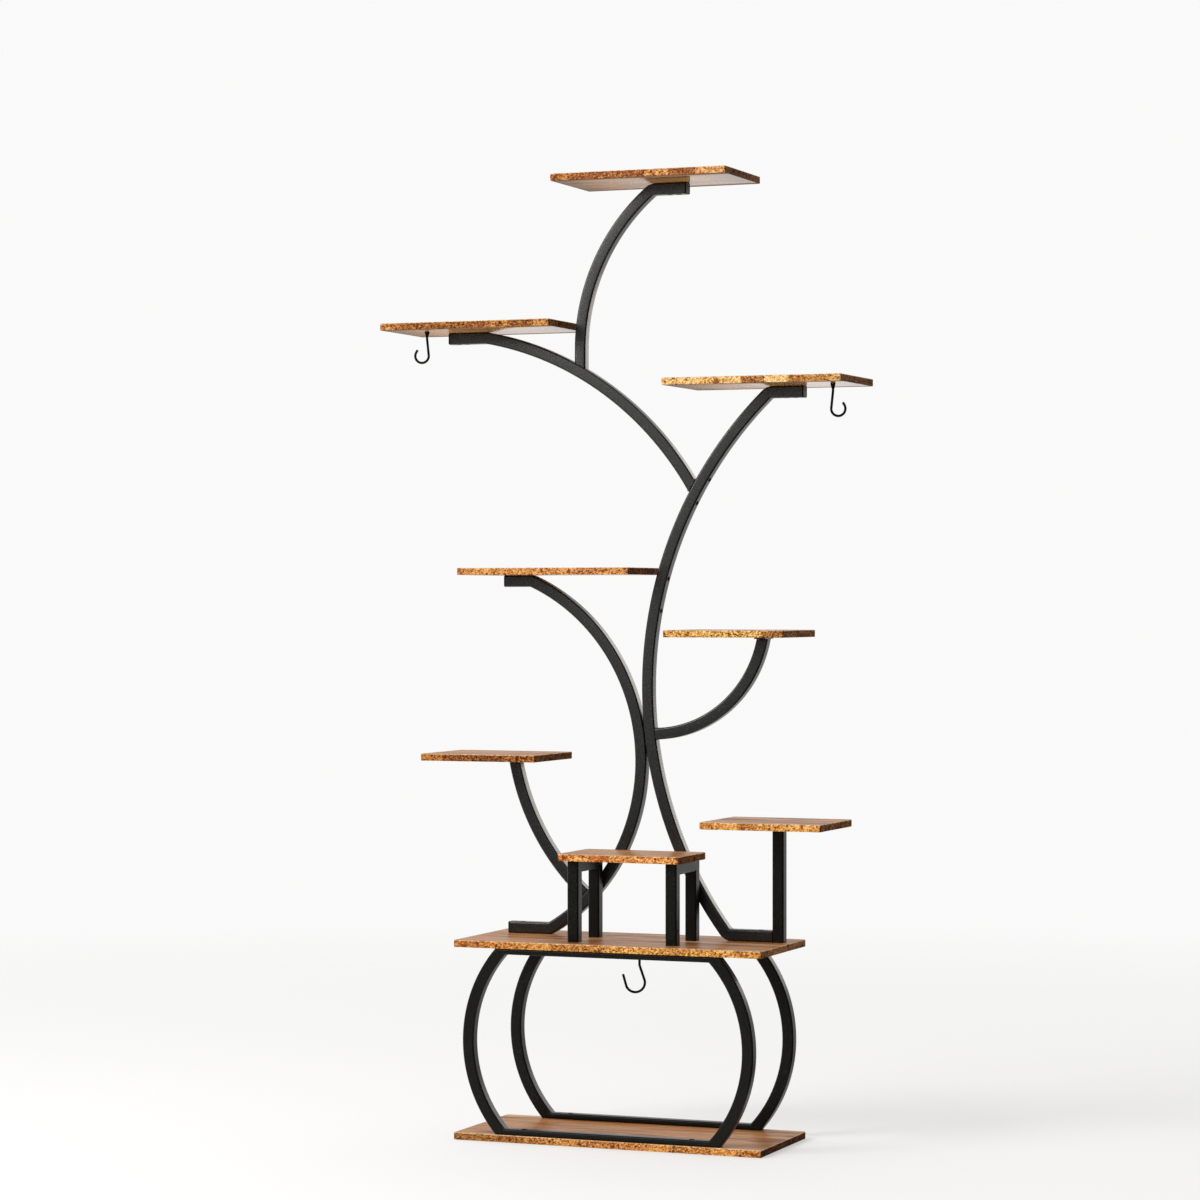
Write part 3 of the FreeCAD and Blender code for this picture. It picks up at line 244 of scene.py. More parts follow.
def wood_face(name, dark, mid, light, rough, streak, specular, painted_outline_shade=1.0, dulling=0.0):
    """Printed laminate with long grain, darker bands and small knots.

    Border: painted shade, darker towards the outline. Dulling: roughness added at the left end and the
    sides.
    """
    material, nodes = new_material(name)
    bands = nodes.noise((0.10, 1.0, 1.0), scale=26.0, detail=6.0, roughness=0.6, distortion=1.1)
    lines = nodes.noise((0.030, 1.0, 1.0), scale=150.0, detail=4.0, roughness=0.65, distortion=0.5)
    grain = nodes.noise((0.035, 1.0, 1.0), scale=420.0, detail=3.0, roughness=0.6)
    pores = nodes.noise((0.16, 1.0, 1.0), scale=900.0, detail=2.0, roughness=0.5)
    knots = nodes.noise((0.45, 1.0, 1.0), scale=13.0, detail=2.0, roughness=0.5, distortion=0.4)
    colour = nodes.ramp(bands, [(0.36, dark), (0.46, mid), (0.55, mid), (0.67, light)])
    broad = nodes.ramp(lines, [(0.36, (0.42, 0.36, 0.30)), (0.50, WHITE), (0.66, (1.0, 1.0, 0.98))])
    colour = nodes.tone(colour, broad, streak)
    fine = nodes.ramp(grain, [(0.34, (0.50, 0.45, 0.40)), (0.52, WHITE), (0.75, (1.0, 0.98, 0.94))])
    colour = nodes.tone(colour, fine, streak)
    colour = nodes.lay(colour, dark, pores, start=0.62, full=0.72, most=0.55)
    colour = nodes.lay(colour, dark, knots, start=0.66, full=0.74, most=0.65)
    # Painted shade: the colour darkens from the middle of the face towards its outline.
    middle = nodes.math("MULTIPLY", nodes.inward("X", PAINTED_SHADE_REACH), nodes.inward("Y", PAINTED_SHADE_REACH))
    colour = nodes.tone(colour, nodes.ramp(middle, [(0.0, (painted_outline_shade, painted_outline_shade, painted_outline_shade)), (1.0, WHITE)]))
    roughness = nodes.uneven(grain, rough, more=0.06, less=0.04)
    if dulling:
        left = nodes.span(nodes.share("X"), DULL_LEFT, (dulling, 0.0))
        sides = nodes.span(nodes.inward("Y", SIDE_REACH), (0.0, 1.0), (SIDE_DULLING * dulling, 0.0))
        roughness = nodes.math("ADD", roughness, nodes.math("MAXIMUM", left, sides))
    relief = nodes.bump(grain, strength=0.12, distance=0.0004)
    nodes.surface(colour, roughness, relief, Specular_IOR_Level=specular)
    return material


def wood_edge(name, dark, mid, light, patch, contrast=0.5, phase=0.0, lean=None):
    """Printed edge band: lengths of different ground, short golden and dark flecks, and dark knots.

    Lean is what multiplies its colour at the left end, and is lost past the middle.
    """
    material, nodes = new_material(name)
    fleck = nodes.noise((0.75, 0.75, 1.0), scale=290.0, detail=3.0, roughness=0.6, distortion=0.8)
    fine = nodes.noise((0.8, 0.8, 1.0), scale=520.0, detail=2.0, roughness=0.6)
    knots = nodes.noise((1.0, 1.0, 0.9), scale=64.0, detail=1.0, roughness=0.5)
    lengths = nodes.lengths(EDGE_LENGTHS, phase, fleck)
    colour = nodes.ramp(fleck, [(0.41, dark), (0.47, mid), (0.52, mid), (0.59, light)])
    shaded = nodes.ramp(fleck, [(0.40, dark), (0.48, patch), (0.66, mid)])
    bright = nodes.ramp(fleck, [(0.34, patch), (0.42, mid), (0.54, light)])
    colour = nodes.lay(colour, shaded, lengths, start=0.42, full=0.24, most=contrast)
    colour = nodes.lay(colour, bright, lengths, start=0.60, full=0.80, most=contrast)
    colour = nodes.lay(colour, dark, fine, start=0.56, full=0.63, most=0.7)
    colour = nodes.lay(colour, light, fine, start=0.42, full=0.36, most=0.6)
    colour = nodes.lay(colour, dark, knots, start=0.66, full=0.72, most=0.85)
    if lean:
        colour = nodes.tone(colour, nodes.ramp(nodes.share("X"), [(0.0, lean), (LEAN_END, WHITE)]))
    roughness = nodes.uneven(fleck, EDGE_ROUGHNESS, more=0.08, less=0.05)
    relief = nodes.bump(fleck, strength=0.15, distance=0.0005)
    nodes.surface(colour, roughness, relief, Specular_IOR_Level=EDGE_SPECULAR)
    return material


def powder_coat(name, low, high, rough, specular):
    """Fine-textured black powder coat: grey specks in a near-black ground."""
    material, nodes = new_material(name)
    grit = nodes.noise(EVEN, scale=430.0, detail=4.0, roughness=0.75)
    cloud = nodes.noise(EVEN, scale=14.0, detail=3.0, roughness=0.5)
    colour = nodes.ramp(grit, [(0.40, low), (0.54, low), (0.68, high)])
    colour = nodes.tone(colour, nodes.ramp(cloud, [(0.3, (0.80, 0.80, 0.80)), (0.7, WHITE)]))
    roughness = nodes.uneven(grit, rough, more=0.07, less=0.07)
    relief = nodes.bump(grit, strength=0.22, distance=0.0006)
    nodes.surface(colour, roughness, relief, Specular_IOR_Level=specular)
    return material


def moulded(name, ground, rough, specular):
    """Black moulded plastic with a faint matt grain."""
    material, nodes = new_material(name)
    grit = nodes.noise(EVEN, scale=1500.0, detail=2.0, roughness=0.5)
    dark = tuple(MOULD_SHADE * part for part in ground[:3])
    colour = nodes.ramp(grit, [(0.35, dark), (0.65, ground)])
    roughness = nodes.uneven(grit, rough, more=0.05, less=0.05)
    relief = nodes.bump(grit, strength=0.1, distance=0.0002)
    nodes.surface(colour, roughness, relief, Specular_IOR_Level=specular)
    return material


def metal(name, ground, rough, metallic, specular):
    """Blackened steel with fine turning marks."""
    material, nodes = new_material(name)
    marks = nodes.noise((1.0, 1.0, 6.0), scale=600.0, detail=3.0, roughness=0.6)
    dark = tuple(MARK_SHADE * part for part in ground[:3])
    colour = nodes.ramp(marks, [(0.3, dark), (0.7, ground)])
    roughness = nodes.uneven(marks, rough, more=0.08, less=0.06)
    relief = nodes.bump(marks, strength=0.1, distance=0.0002)
    nodes.surface(colour, roughness, relief, Metallic=metallic, Specular_IOR_Level=specular)
    return material


# Looks of the boards' front edges: dark, mid, light and patch colours, and how far the lengths differ.
# The boards differ partly by print and partly as painted light and shade: lit boards lighter, shaded ones
# darker.
EDGE_LOOKS = {
    "top_shelf": ((104, 50, 24), (194, 122, 70), (246, 190, 126), (132, 70, 38), 0.85),
    "upper_left_shelf": ((80, 40, 16), (176, 112, 60), (232, 170, 102), (122, 66, 32), 0.75),
    "upper_right_shelf": ((122, 64, 26), (234, 172, 100), (255, 222, 152), (160, 92, 46), 0.95),
    "middle_left_shelf": ((106, 50, 24), (198, 128, 70), (244, 182, 114), (128, 64, 34), 0.35),
    "middle_right_shelf": ((92, 44, 16), (218, 150, 76), (255, 222, 140), (118, 58, 25), 0.95),
    "lower_left_shelf": ((50, 25, 10), (148, 86, 42), (212, 140, 78), (84, 43, 20), 0.6),
    "lower_right_shelf": ((122, 62, 23), (228, 154, 80), (255, 210, 130), (162, 90, 40), 0.7),
    "riser_shelf": ((112, 52, 16), (228, 142, 72), (255, 206, 128), (158, 80, 34), 0.95),
    "middle_board": ((99, 52, 20), (210, 139, 67), (255, 202, 114), (131, 73, 31), 0.45),
    "bottom_board": ((101, 50, 20), (214, 132, 66), (255, 198, 117), (124, 64, 26), 0.35),
}
EDGE_LEANS = {"middle_board": (0.74, 0.56, 0.53), "bottom_board": (0.43, 0.42, 0.44)}
BOARDS = tuple(EDGE_LOOKS)
PHASE_STEP = 7.0

top_look = wood_face(
    "wood_top", srgb(104, 60, 32), srgb(202, 142, 90), srgb(238, 188, 138),
    rough=0.35, streak=0.9, specular=0.045,
)
# The undersides take a painted shade that darkens them towards their outline.
under_look = wood_face(
    "wood_under", srgb(142, 94, 48), srgb(206, 150, 90), srgb(234, 182, 118),
    rough=0.08, streak=0.7, specular=0.09, painted_outline_shade=0.3, dulling=0.32,
)
# Painted highlight: the eased rim of each top takes a paler print for the light that it catches.
rim_highlight_look = wood_edge(
    "wood_rim_painted_highlight", srgb(176, 126, 86), srgb(232, 188, 144), srgb(252, 222, 186), srgb(206, 156, 112),
)
# The ends take darker copies of the edge print: painted shade of the unlit right-hand side, darkest on the
# bottom board.
painted_shade_end = wood_edge(
    "wood_end_painted_shade", srgb(46, 24, 10), srgb(112, 68, 36), srgb(162, 108, 64), srgb(72, 40, 18),
)
golden_painted_shade_end = wood_edge(
    "wood_end_golden_painted_shade", srgb(58, 34, 18), srgb(128, 84, 52), srgb(178, 126, 84), srgb(84, 52, 28),
)
black_painted_shade_end = wood_edge(
    "wood_end_black_painted_shade", srgb(30, 17, 8), srgb(72, 44, 24), srgb(112, 74, 44), srgb(44, 26, 13),
)
PAINTED_SHADE_ENDS = {"middle_board": golden_painted_shade_end, "bottom_board": black_painted_shade_end}
# One powder coat in two copies: the tree's lighter and glossier as painted light, the base's darker as
# painted shade.
lit_coat = powder_coat(
    "powder_coat_painted_lit", srgb(15, 15, 14), srgb(68, 67, 64), rough=0.28, specular=0.46,
)
shaded_coat = powder_coat(
    "powder_coat_painted_shade", srgb(17, 17, 14), srgb(54, 52, 46), rough=0.30, specular=0.13,
)
plug_look = moulded("plug_plastic", srgb(24, 23, 22), rough=0.48, specular=0.05)
insert_look = moulded("insert_plastic", srgb(26, 26, 25), rough=0.55, specular=0.4)
screw_look = metal("screw_steel_black", srgb(44, 43, 42), rough=0.38, metallic=0.7, specular=0.25)
wire_look = metal("hook_steel_black", srgb(11, 11, 10), rough=0.48, metallic=0.0, specular=0.10)
socket_look = moulded("hook_socket_plastic", srgb(14, 13, 13), rough=0.45, specular=0.10)


# Mesh helpers.

SMOOTH_LIMIT = math.radians(35)
NORMAL_WEIGHT = 60
WELD = 2e-6
CORNER_STEPS = 6
EASE_SHARE = 0.3


def shade(bm):
    """Smooth faces with the hard creases kept."""
    for face in bm.faces:
        face.smooth = True
    for edge in bm.edges:
        edge.smooth = len(edge.link_faces) == 2 and edge.calc_face_angle(0.0) < SMOOTH_LIMIT


def dress(node, bm, materials, flat=True):
    """Makes the piece that stands for a CAD node; flat keeps its broad faces evenly lit up to their rims."""
    bm.normal_update()
    shade(bm)
    name = f"{node}_dressed"
    mesh = bpy.data.meshes.new(name)
    bm.to_mesh(mesh)
    bm.free()
    for material in materials:
        mesh.materials.append(material)
    piece = bpy.data.objects.new(name, mesh)
    bpy.context.scene.collection.objects.link(piece)
    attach(piece, BODY_OF[node])
    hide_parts(node)
    if flat:
        modifier = piece.modifiers.new("flat_faces", "WEIGHTED_NORMAL")
        modifier.keep_sharp = True
        modifier.weight = NORMAL_WEIGHT


def welded(node):
    """The CAD node's mesh with its seams joined."""
    bm = bmesh.new()
    bm.from_mesh(frame["nodes"][node].data)
    bmesh.ops.remove_doubles(bm, verts=bm.verts, dist=WELD)
    bm.verts.index_update()
    bm.faces.index_update()
    bm.normal_update()
    return bm


def round_edges(bm, edges, offset, segments, clamp):
    bmesh.ops.bevel(
        bm, geom=edges, offset=offset, offset_type="OFFSET", segments=segments, profile=0.5,
        affect="EDGES", clamp_overlap=clamp,
    )


def rounded_outline(lo, hi, inset, radius):
    """Points round a rectangle with rounded corners, drawn in by the inset."""
    points = []
    corners = [(hi.x, hi.y, 0), (lo.x, hi.y, 1), (lo.x, lo.y, 2), (hi.x, lo.y, 3)]
    for x, y, quarter in corners:
        turn_x = x - math.copysign(radius, x - (lo.x + hi.x) / 2)
        turn_y = y - math.copysign(radius, y - (lo.y + hi.y) / 2)
        for step in range(CORNER_STEPS + 1):
            angle = (quarter + step / CORNER_STEPS) * math.pi / 2
            reach = radius - inset
            points.append((turn_x + reach * math.cos(angle), turn_y + reach * math.sin(angle)))
    return points


def skin(bm, loops):
    """Closed skin over a row of loops that have the same number of points."""
    count = len(loops[0])
    for lower, upper in zip(loops, loops[1:]):
        for i in range(count):
            j = (i + 1) % count
            bm.faces.new((lower[i], lower[j], upper[j], upper[i]))
    bm.faces.new(reversed(loops[0]))
    bm.faces.new(loops[-1])


# Boards.

BOARD_CORNER = 0.003
RISER_CORNER = 0.007
BOARD_EASE = 0.0010
LEVEL = 0.95
TILTED = 0.3
TOP, UNDER, EDGE, END, RIM_HIGHLIGHT = range(5)


def board_side(normal):
    """Which of a board's looks a face takes; the eased rim of its top takes a paler print, a painted
    highlight.
    """
    if abs(normal.z) > LEVEL:
        return TOP if normal.z > 0 else UNDER
    if normal.z > TILTED:
        return RIM_HIGHLIGHT
    return EDGE if abs(normal.y) >= abs(normal.x) else END


def board_piece(node):
    lo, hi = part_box(node)
    near = EASE_SHARE * BOARD_EASE
    profile = [(BOARD_EASE, 0.0), (near, near), (0.0, BOARD_EASE)]
    heights = [(inset, lo.z + rise) for inset, rise in profile]
    heights += [(inset, hi.z - rise) for inset, rise in reversed(profile)]
    corner = RISER_CORNER if node == "riser_shelf" else BOARD_CORNER
    bm = bmesh.new()
    loops = []
    for inset, z in heights:
        loops.append([bm.verts.new((x, y, z)) for x, y in rounded_outline(lo, hi, inset, corner)])
    skin(bm, loops)
    bm.normal_update()
    for face in bm.faces:
        face.material_index = board_side(face.normal)
    *colours, contrast = EDGE_LOOKS[node]
    colours = [srgb(*colour) for colour in colours]
    phase = PHASE_STEP * BOARDS.index(node)
    edge_look = wood_edge(f"wood_edge_{node}", *colours, contrast, phase, EDGE_LEANS.get(node))
    end_look = PAINTED_SHADE_ENDS.get(node, painted_shade_end)
    dress(node, bm, [top_look, under_look, edge_look, end_look, rim_highlight_look])


for board in BOARDS:
    board_piece(board)


# Tubes.

BASE_TUBES = (
    "front_lantern_frame", "rear_lantern_frame", "right_post", "riser_left_legs", "riser_right_legs",
)
TREE_TUBES = (
    "right_trunk_lower", "right_trunk_upper", "left_trunk", "upper_left_branch", "top_branch",
    "lower_left_branch", "middle_right_branch",
)
TUBE_SIDE = 0.020
TUBE_EDGE = 0.0032
TUBE_SEGMENTS = 4
PATCH_CREASE = math.radians(25)
TUBE_CORNER = math.radians(50)
LEAST_WIDTH = 0.004
RAY_LIFT = 1e-5
RAY_REACH = 1.1 * TUBE_SIDE


def smooth_patches(bm):
    """Number of the patch that each face belongs to, and how many there are; a patch ends at creases."""
    patch = {}
    count = 0
    for seed in bm.faces:
        if seed.index in patch:
            continue
        patch[seed.index] = count
        waiting = [seed]
        while waiting:
            face = waiting.pop()
            for edge in face.edges:
                if len(edge.link_faces) != 2 or edge.calc_face_angle(0.0) > PATCH_CREASE:
                    continue
                for other in edge.link_faces:
                    if other.index not in patch:
                        patch[other.index] = count
                        waiting.append(other)
        count += 1
    return patch, count


def widths_of(bm, patch, count):
    """Mean width of each patch: its area over half its outline."""
    area = [0.0] * count
    outline = [0.0] * count
    for face in bm.faces:
        area[patch[face.index]] += face.calc_area()
    for edge in bm.edges:
        owners = {patch[face.index] for face in edge.link_faces}
        if len(owners) > 1:
            for owner in owners:
                outline[owner] += edge.calc_length()
    return [2 * a / max(o, 1e-9) for a, o in zip(area, outline)]


def looks_inward(bm):
    """Faces that look into the tube's hollow."""
    tree = BVHTree.FromBMesh(bm)
    inner = set()
    for face in bm.faces:
        start = face.calc_center_median() + face.normal * RAY_LIFT
        if tree.ray_cast(start, face.normal, RAY_REACH)[0] is not None:
            inner.add(face.index)
    return inner


def tube_piece(node, material):
    """The tube with its long outer corners rounded; its ends, holes and hollow stay as they are."""
    bm = welded(node)
    patch, count = smooth_patches(bm)
    widths = widths_of(bm, patch, count)
    hidden = {patch[index] for index in looks_inward(bm)}
    corners = []
    for edge in bm.edges:
        if len(edge.link_faces) != 2 or edge.calc_face_angle_signed(0.0) < TUBE_CORNER:
            continue
        owners = [patch[face.index] for face in edge.link_faces]
        if all(widths[owner] > LEAST_WIDTH for owner in owners) and not hidden.intersection(owners):
            corners.append(edge)
    round_edges(bm, corners, TUBE_EDGE, TUBE_SEGMENTS, clamp=False)
    dress(node, bm, [material])


for tube in BASE_TUBES:
    tube_piece(tube, shaded_coat)
for tube in TREE_TUBES:
    tube_piece(tube, lit_coat)


# Plates, hooks, sockets, sleeve and inserts: material, slot, and how far sharp edges are eased.

SOFT_EDGES = {
    "upper_left_saddle": (lit_coat, "tube", 0.0003),
    "lower_left_plate": (lit_coat, "tube", 0.0004),
    "middle_right_plate": (lit_coat, "tube", 0.0004),
    "lower_right_plate": (shaded_coat, "tube", 0.0004),
    "left_hook": (wire_look, "hook_wire", 0.0006),
    "right_hook": (wire_look, "hook_wire", 0.0006),
    "lower_hook": (wire_look, "hook_wire", 0.0006),
    "left_hook_socket": (socket_look, "hook_socket", 0.0),
    "right_hook_socket": (socket_look, "hook_socket", 0.0),
    "lower_hook_socket": (socket_look, "hook_socket", 0.0),
    "trunk_sleeve": (lit_coat, "tube", 0.0),
    "riser_leg_inserts": (insert_look, "insert", 0.0),
    "post_insert": (insert_look, "insert", 0.0),
}
NUT_EASE = 0.0004
SHARP_EDGE = math.radians(30)
EASE_SEGMENTS = 2


def soft_piece(node, material, ease):
    bm = welded(node)
    if ease:
        paired = [edge for edge in bm.edges if len(edge.link_faces) == 2]
        sharp = [edge for edge in paired if edge.calc_face_angle_signed(0.0) > SHARP_EDGE]
        round_edges(bm, sharp, ease, EASE_SEGMENTS, clamp=True)
    dress(node, bm, [material])


for node, (material, slot, ease) in SOFT_EDGES.items():
    soft_piece(node, material, ease)


# Plugs, each with the way along X that its flange faces. The flange is rounded like the tube that it closes.

PLUGS = {
    "top_arm_plug": 1,
    "upper_right_arm_plug": 1,
    "upper_left_arm_plug": -1,
    "middle_left_arm_plug": -1,
    "left_foot_plug": -1,
}
PLUG_FLANGE = 0.0025
PLUG_RIM = 0.0010
STEM_STEP = 0.0013
STEM_CORNER = 0.0008
STEM_LEAD = 0.0006
LEAD_CORNER = 0.0004


def plug_piece(node, outward):
    """Stem and flange with a soft rim; the profile gives place, half width and corner radius."""
    lo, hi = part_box(node)
    middle = (lo + hi) / 2
    half = (hi.y - lo.y) / 2
    tip = hi.x if outward > 0 else lo.x
    back = lo.x if outward > 0 else hi.x
    seat = tip - outward * PLUG_FLANGE
    stem = half - STEM_STEP
    near = EASE_SHARE * PLUG_RIM
    profile = [
        (back, stem - STEM_LEAD, LEAD_CORNER),
        (back + outward * STEM_LEAD, stem, STEM_CORNER),
        (seat, stem, STEM_CORNER),
        (seat, half, TUBE_EDGE),
        (tip - outward * PLUG_RIM, half, TUBE_EDGE),
        (tip - outward * near, half - near, TUBE_EDGE),
        (tip, half - PLUG_RIM, TUBE_EDGE),
    ]
    bm = bmesh.new()
    loops = []
    for x, reach, radius in profile:
        low = Vector((-reach, -reach))
        outline = rounded_outline(low, -low, 0.0, radius)
        loops.append([bm.verts.new((x, middle.y + outward * a, middle.z + b)) for a, b in outline])
    skin(bm, loops)
    dress(node, bm, [plug_look])


for node, outward in PLUGS.items():
    plug_piece(node, outward)


# Screws, bolts and nuts.

ROUND_STEPS = 24
HEAD_SHARE = 0.98
POINT_RADIUS = 0.6
POINT_LENGTH = 0.4
# Rings of a head: shares of its radius and height, and how far a cross-shaped recess pulls the ring in.
HEAD_RINGS = (
    (1.0, 0.0, 0.0),
    (1.0, 0.30, 0.0),
    (0.93, 0.66, 0.0),
    (0.76, 0.90, 0.0),
    (0.56, 1.0, 0.0),
    (0.50, 1.0, 0.62),
    (0.36, 0.35, 0.55),
)


def islands(bm):
    """Vertices of each separate solid, in the mesh's order."""
    done = set()
    found = []
    for seed in bm.verts:
        if seed.index in done:
            continue
        done.add(seed.index)
        solid = [seed]
        waiting = [seed]
        while waiting:
            for edge in waiting.pop().link_edges:
                for vert in edge.verts:
                    if vert.index not in done:
                        done.add(vert.index)
                        solid.append(vert)
                        waiting.append(vert)
        found.append(solid)
    return found


def screw_axis(verts):
    """Middle of the head's seat, the way from there to the head, and the sizes of head and shank."""
    faces = {face.index: face for vert in verts for face in vert.link_faces}
    tensor = np.zeros((3, 3))
    for face in faces.values():
        normal = np.array(face.normal)
        tensor += face.calc_area() * np.outer(normal, normal)
    values, vectors = np.linalg.eigh(tensor)
    axis = vectors[:, 0] if values[1] - values[0] > values[2] - values[1] else vectors[:, 2]
    points = np.array([vert.co for vert in verts])
    middle = (points.min(axis=0) + points.max(axis=0)) / 2
    along = (points - middle) @ axis
    radial = np.linalg.norm(points - middle - np.outer(along, axis), axis=1)
    head = radial > HEAD_SHARE * radial.max()
    if along[head].mean() < 0:
        axis = -axis
        along = -along
    seat = along[head].min()
    sizes = (radial.max(), along.max() - seat, radial[~head].max(), seat - along.min())
    return Vector(middle + axis * seat), Vector(axis), sizes


def ring(bm, frame_of, radius, height, waves=0.0):
    """Ring of points; waves pull it in to a cross."""
    points = []
    for step in range(ROUND_STEPS):
        angle = 2 * math.pi * step / ROUND_STEPS
        reach = radius * (1 - waves * (0.5 - 0.5 * math.cos(4 * angle)))
        spot = Vector((reach * math.cos(angle), reach * math.sin(angle), height))
        points.append(bm.verts.new(frame_of @ spot))
    return points


def screw_solid(bm, place, axis, sizes):
    """Pan-headed screw with a cross recess, in the place and size of the plain one."""
    head_radius, head_height, shank_radius, length = sizes
    turn = axis.to_track_quat("Z", "Y").to_matrix().to_4x4()
    frame_of = Matrix.Translation(place) @ turn
    rings = [
        ring(bm, frame_of, POINT_RADIUS * shank_radius, -length),
        ring(bm, frame_of, shank_radius, POINT_LENGTH * shank_radius - length),
        ring(bm, frame_of, shank_radius, 0.0),
    ]
    for radius, height, waves in HEAD_RINGS:
        rings.append(ring(bm, frame_of, radius * head_radius, height * head_height, waves))
    skin(bm, rings)


def screw_piece(node):
    plain = welded(node)
    bm = bmesh.new()
    for verts in islands(plain):
        screw_solid(bm, *screw_axis(verts))
    plain.free()
    dress(node, bm, [screw_look], flat=False)


SCREWS = [node for node in frame["nodes"] if "screw" in node or "bolt" in node]
for node in SCREWS:
    screw_piece(node)
soft_piece("saddle_nuts", screw_look, NUT_EASE)


# Floor and background.

FLOOR_RADIUS = 6.0
FLOOR_STEPS = 96
FLOOR_DROP = 0.0005
FLOOR_FADE = (1.1, 4.0)
FLOOR_LIFT = 0.40
FLOOR_COLOUR = (0.98, 0.98, 0.975)
PAPER_WHITE = (1.0, 1.0, 0.995)
BACKGROUND = (0.95, 0.95, 0.948)
# The world's light falls off from the left to the right, and a little to the front.
LIT_SIDE = (0.30, (0.98, 0.975, 0.96))
UNLIT_SIDE = (0.82, (0.28, 0.278, 0.275))
FALL_X = 0.93
FALL_Y = -0.37


def staged(name, bm, material):
    """Makes an object that isn't part of the stand."""
    mesh = bpy.data.meshes.new(name)
    bm.to_mesh(mesh)
    bm.free()
    mesh.materials.append(material)
    thing = bpy.data.objects.new(name, mesh)
    bpy.context.scene.collection.objects.link(thing)
    return thing


def seen_rays(nodes):
    """One for rays that show the background, straight or in a reflection, and nought for light."""
    path = nodes.add("ShaderNodeLightPath")
    seen = nodes.math("MAXIMUM", path.outputs["Is Camera Ray"], path.outputs["Is Glossy Ray"])
    return nodes.math("MAXIMUM", seen, path.outputs["Is Transmission Ray"])


def floor():
    """Paper floor that fades into the background, and is clear from below."""
    material, nodes = new_material("floor_paper")
    coords = nodes.add("ShaderNodeTexCoord")
    length = nodes.add("ShaderNodeVectorMath", operation="LENGTH")
    nodes.link(coords.outputs["Object"], length.inputs[0])
    fade = nodes.span(length.outputs["Value"], FLOOR_FADE, (0.0, 1.0))
    underside = nodes.add("ShaderNodeNewGeometry").outputs["Backfacing"]
    lift = nodes.math("MULTIPLY", seen_rays(nodes), FLOOR_LIFT)
    matt = nodes.plain("ShaderNodeBsdfDiffuse", FLOOR_COLOUR)
    paper = nodes.plain("ShaderNodeEmission", PAPER_WHITE)
    clear = nodes.add("ShaderNodeBsdfTransparent")
    lifted = nodes.mix_shaders(lift, matt, paper)
    nodes.output(nodes.mix_shaders(nodes.math("MAXIMUM", fade, underside), lifted, clear))
    bm = bmesh.new()
    bmesh.ops.create_circle(bm, cap_ends=True, segments=FLOOR_STEPS, radius=FLOOR_RADIUS)
    staged("floor", bm, material).location.z = -FLOOR_DROP


def background():
    """World that lights the stand from the left, and shows as one pale colour."""
    world = bpy.data.worlds.new("studio")
    bpy.context.scene.world = world
    world.use_nodes = True
    nodes = Nodes(world.node_tree)
    direction = nodes.add("ShaderNodeTexCoord")
    axes = nodes.add("ShaderNodeSeparateXYZ")
    nodes.link(direction.outputs["Generated"], axes.inputs[0])
    across = nodes.math("MULTIPLY", axes.outputs["X"], FALL_X)
    ahead = nodes.math("MULTIPLY", axes.outputs["Y"], FALL_Y)
    fall = nodes.span(nodes.math("ADD", across, ahead), (-1.0, 1.0), (0.0, 1.0))
    lighting = nodes.add("ShaderNodeBackground")
    nodes.link(nodes.ramp(fall, [LIT_SIDE, UNLIT_SIDE]), lighting.inputs["Color"])
    shown = nodes.plain("ShaderNodeBackground", BACKGROUND)
    nodes.output(nodes.mix_shaders(seen_rays(nodes), lighting, shown), "ShaderNodeOutputWorld")


floor()
background()


# Lights, and black cards that show only in reflections.

CARD_BLACK = (0.004, 0.004, 0.004)


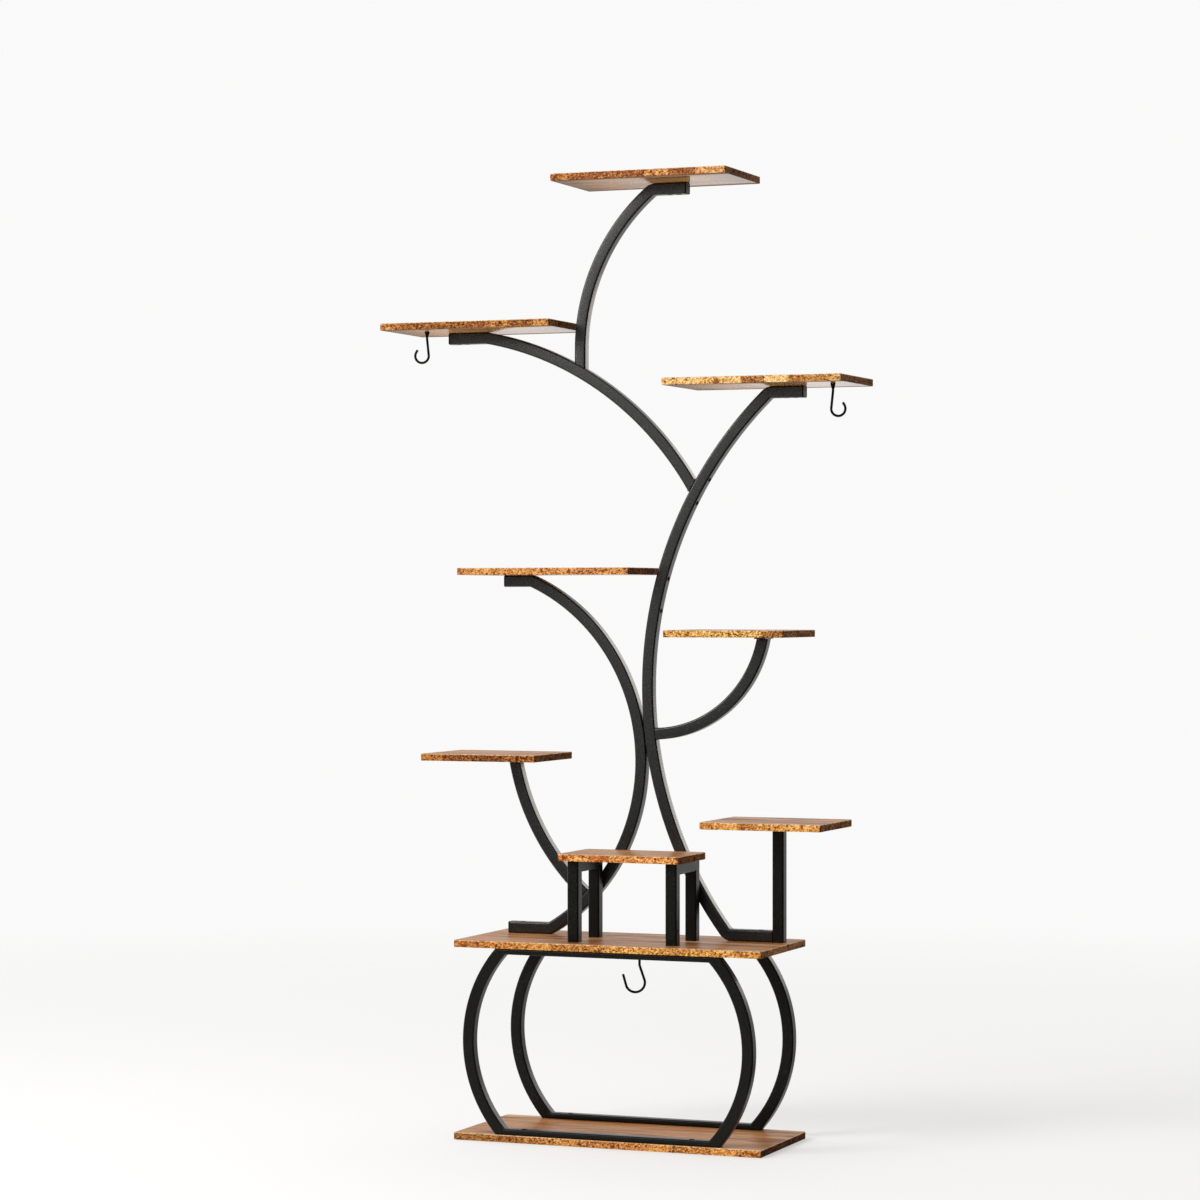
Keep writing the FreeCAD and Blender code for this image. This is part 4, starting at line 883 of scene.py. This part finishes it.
def area_light(name, place, aim, size, power, colour):
    lamp = bpy.data.lights.new(name, "AREA")
    lamp.shape = "DISK"
    lamp.size = size
    lamp.energy = power
    lamp.color = colour
    holder = bpy.data.objects.new(name, lamp)
    bpy.context.scene.collection.objects.link(holder)
    holder.location = place
    holder.rotation_euler = (Vector(aim) - Vector(place)).to_track_quat("-Z", "Y").to_euler()
    return holder


def upright(start, end, bottom, top):
    """Corners of an upright card from start to end on the plan."""
    return [(*start, bottom), (*end, bottom), (*end, top), (*start, top)]


def lying(low, high, height):
    """Corners of a level card between two corners on the plan."""
    return [(*low, height), (high[0], low[1], height), (*high, height), (low[0], high[1], height)]


# A tall card on the unlit side, a low one before the stand that keeps its foot dark, and one on the floor
# that draws a dark line along the tubes' inner corners.
CARDS = {
    "dark_card": upright((3.0, -6.0), (3.0, 3.2), bottom=-0.2, top=4.5),
    "low_card": upright((-2.9, -2.1), (0.7, -3.5), bottom=-0.5, top=0.58),
    "floor_card": lying((0.42, -3.0), (3.0, 0.8), height=0.003),
}


def dark_cards():
    material, nodes = new_material("card_black")
    nodes.output(nodes.plain("ShaderNodeBsdfDiffuse", CARD_BLACK))
    for name, corners in CARDS.items():
        bm = bmesh.new()
        bm.faces.new([bm.verts.new(corner) for corner in corners])
        card = staged(name, bm, material)
        card.visible_camera = False
        card.visible_diffuse = False
        card.visible_shadow = False


area_light(
    "key", place=(-3.0, -3.6, 3.0), aim=(0, 0, 0.8), size=2.4, power=165, colour=(1.0, 0.985, 0.96),
)
rim = area_light(
    "rim", place=(1.1, 3.8, 1.9), aim=(0, 0, 1.0), size=2.4, power=34, colour=(1.0, 0.93, 0.85),
)
rim.visible_camera = False
rim.visible_diffuse = False
dark_cards()


# Camera, at the photograph's place.

CAMERA_PLACE = (2.2068, -5.6302, 0.9113)
CAMERA_TURN = (math.radians(90), 0, math.radians(21.88))
CAMERA_LENS = 107.28
CAMERA_SENSOR = 36

lens = bpy.data.cameras.new("camera")
lens.lens = CAMERA_LENS
lens.sensor_width = CAMERA_SENSOR
camera = bpy.data.objects.new("camera", lens)
camera.location = CAMERA_PLACE
camera.rotation_euler = CAMERA_TURN
bpy.context.scene.collection.objects.link(camera)
bpy.context.scene.camera = camera
bpy.context.scene.view_settings.view_transform = "Standard"

bpy.context.view_layer.update()
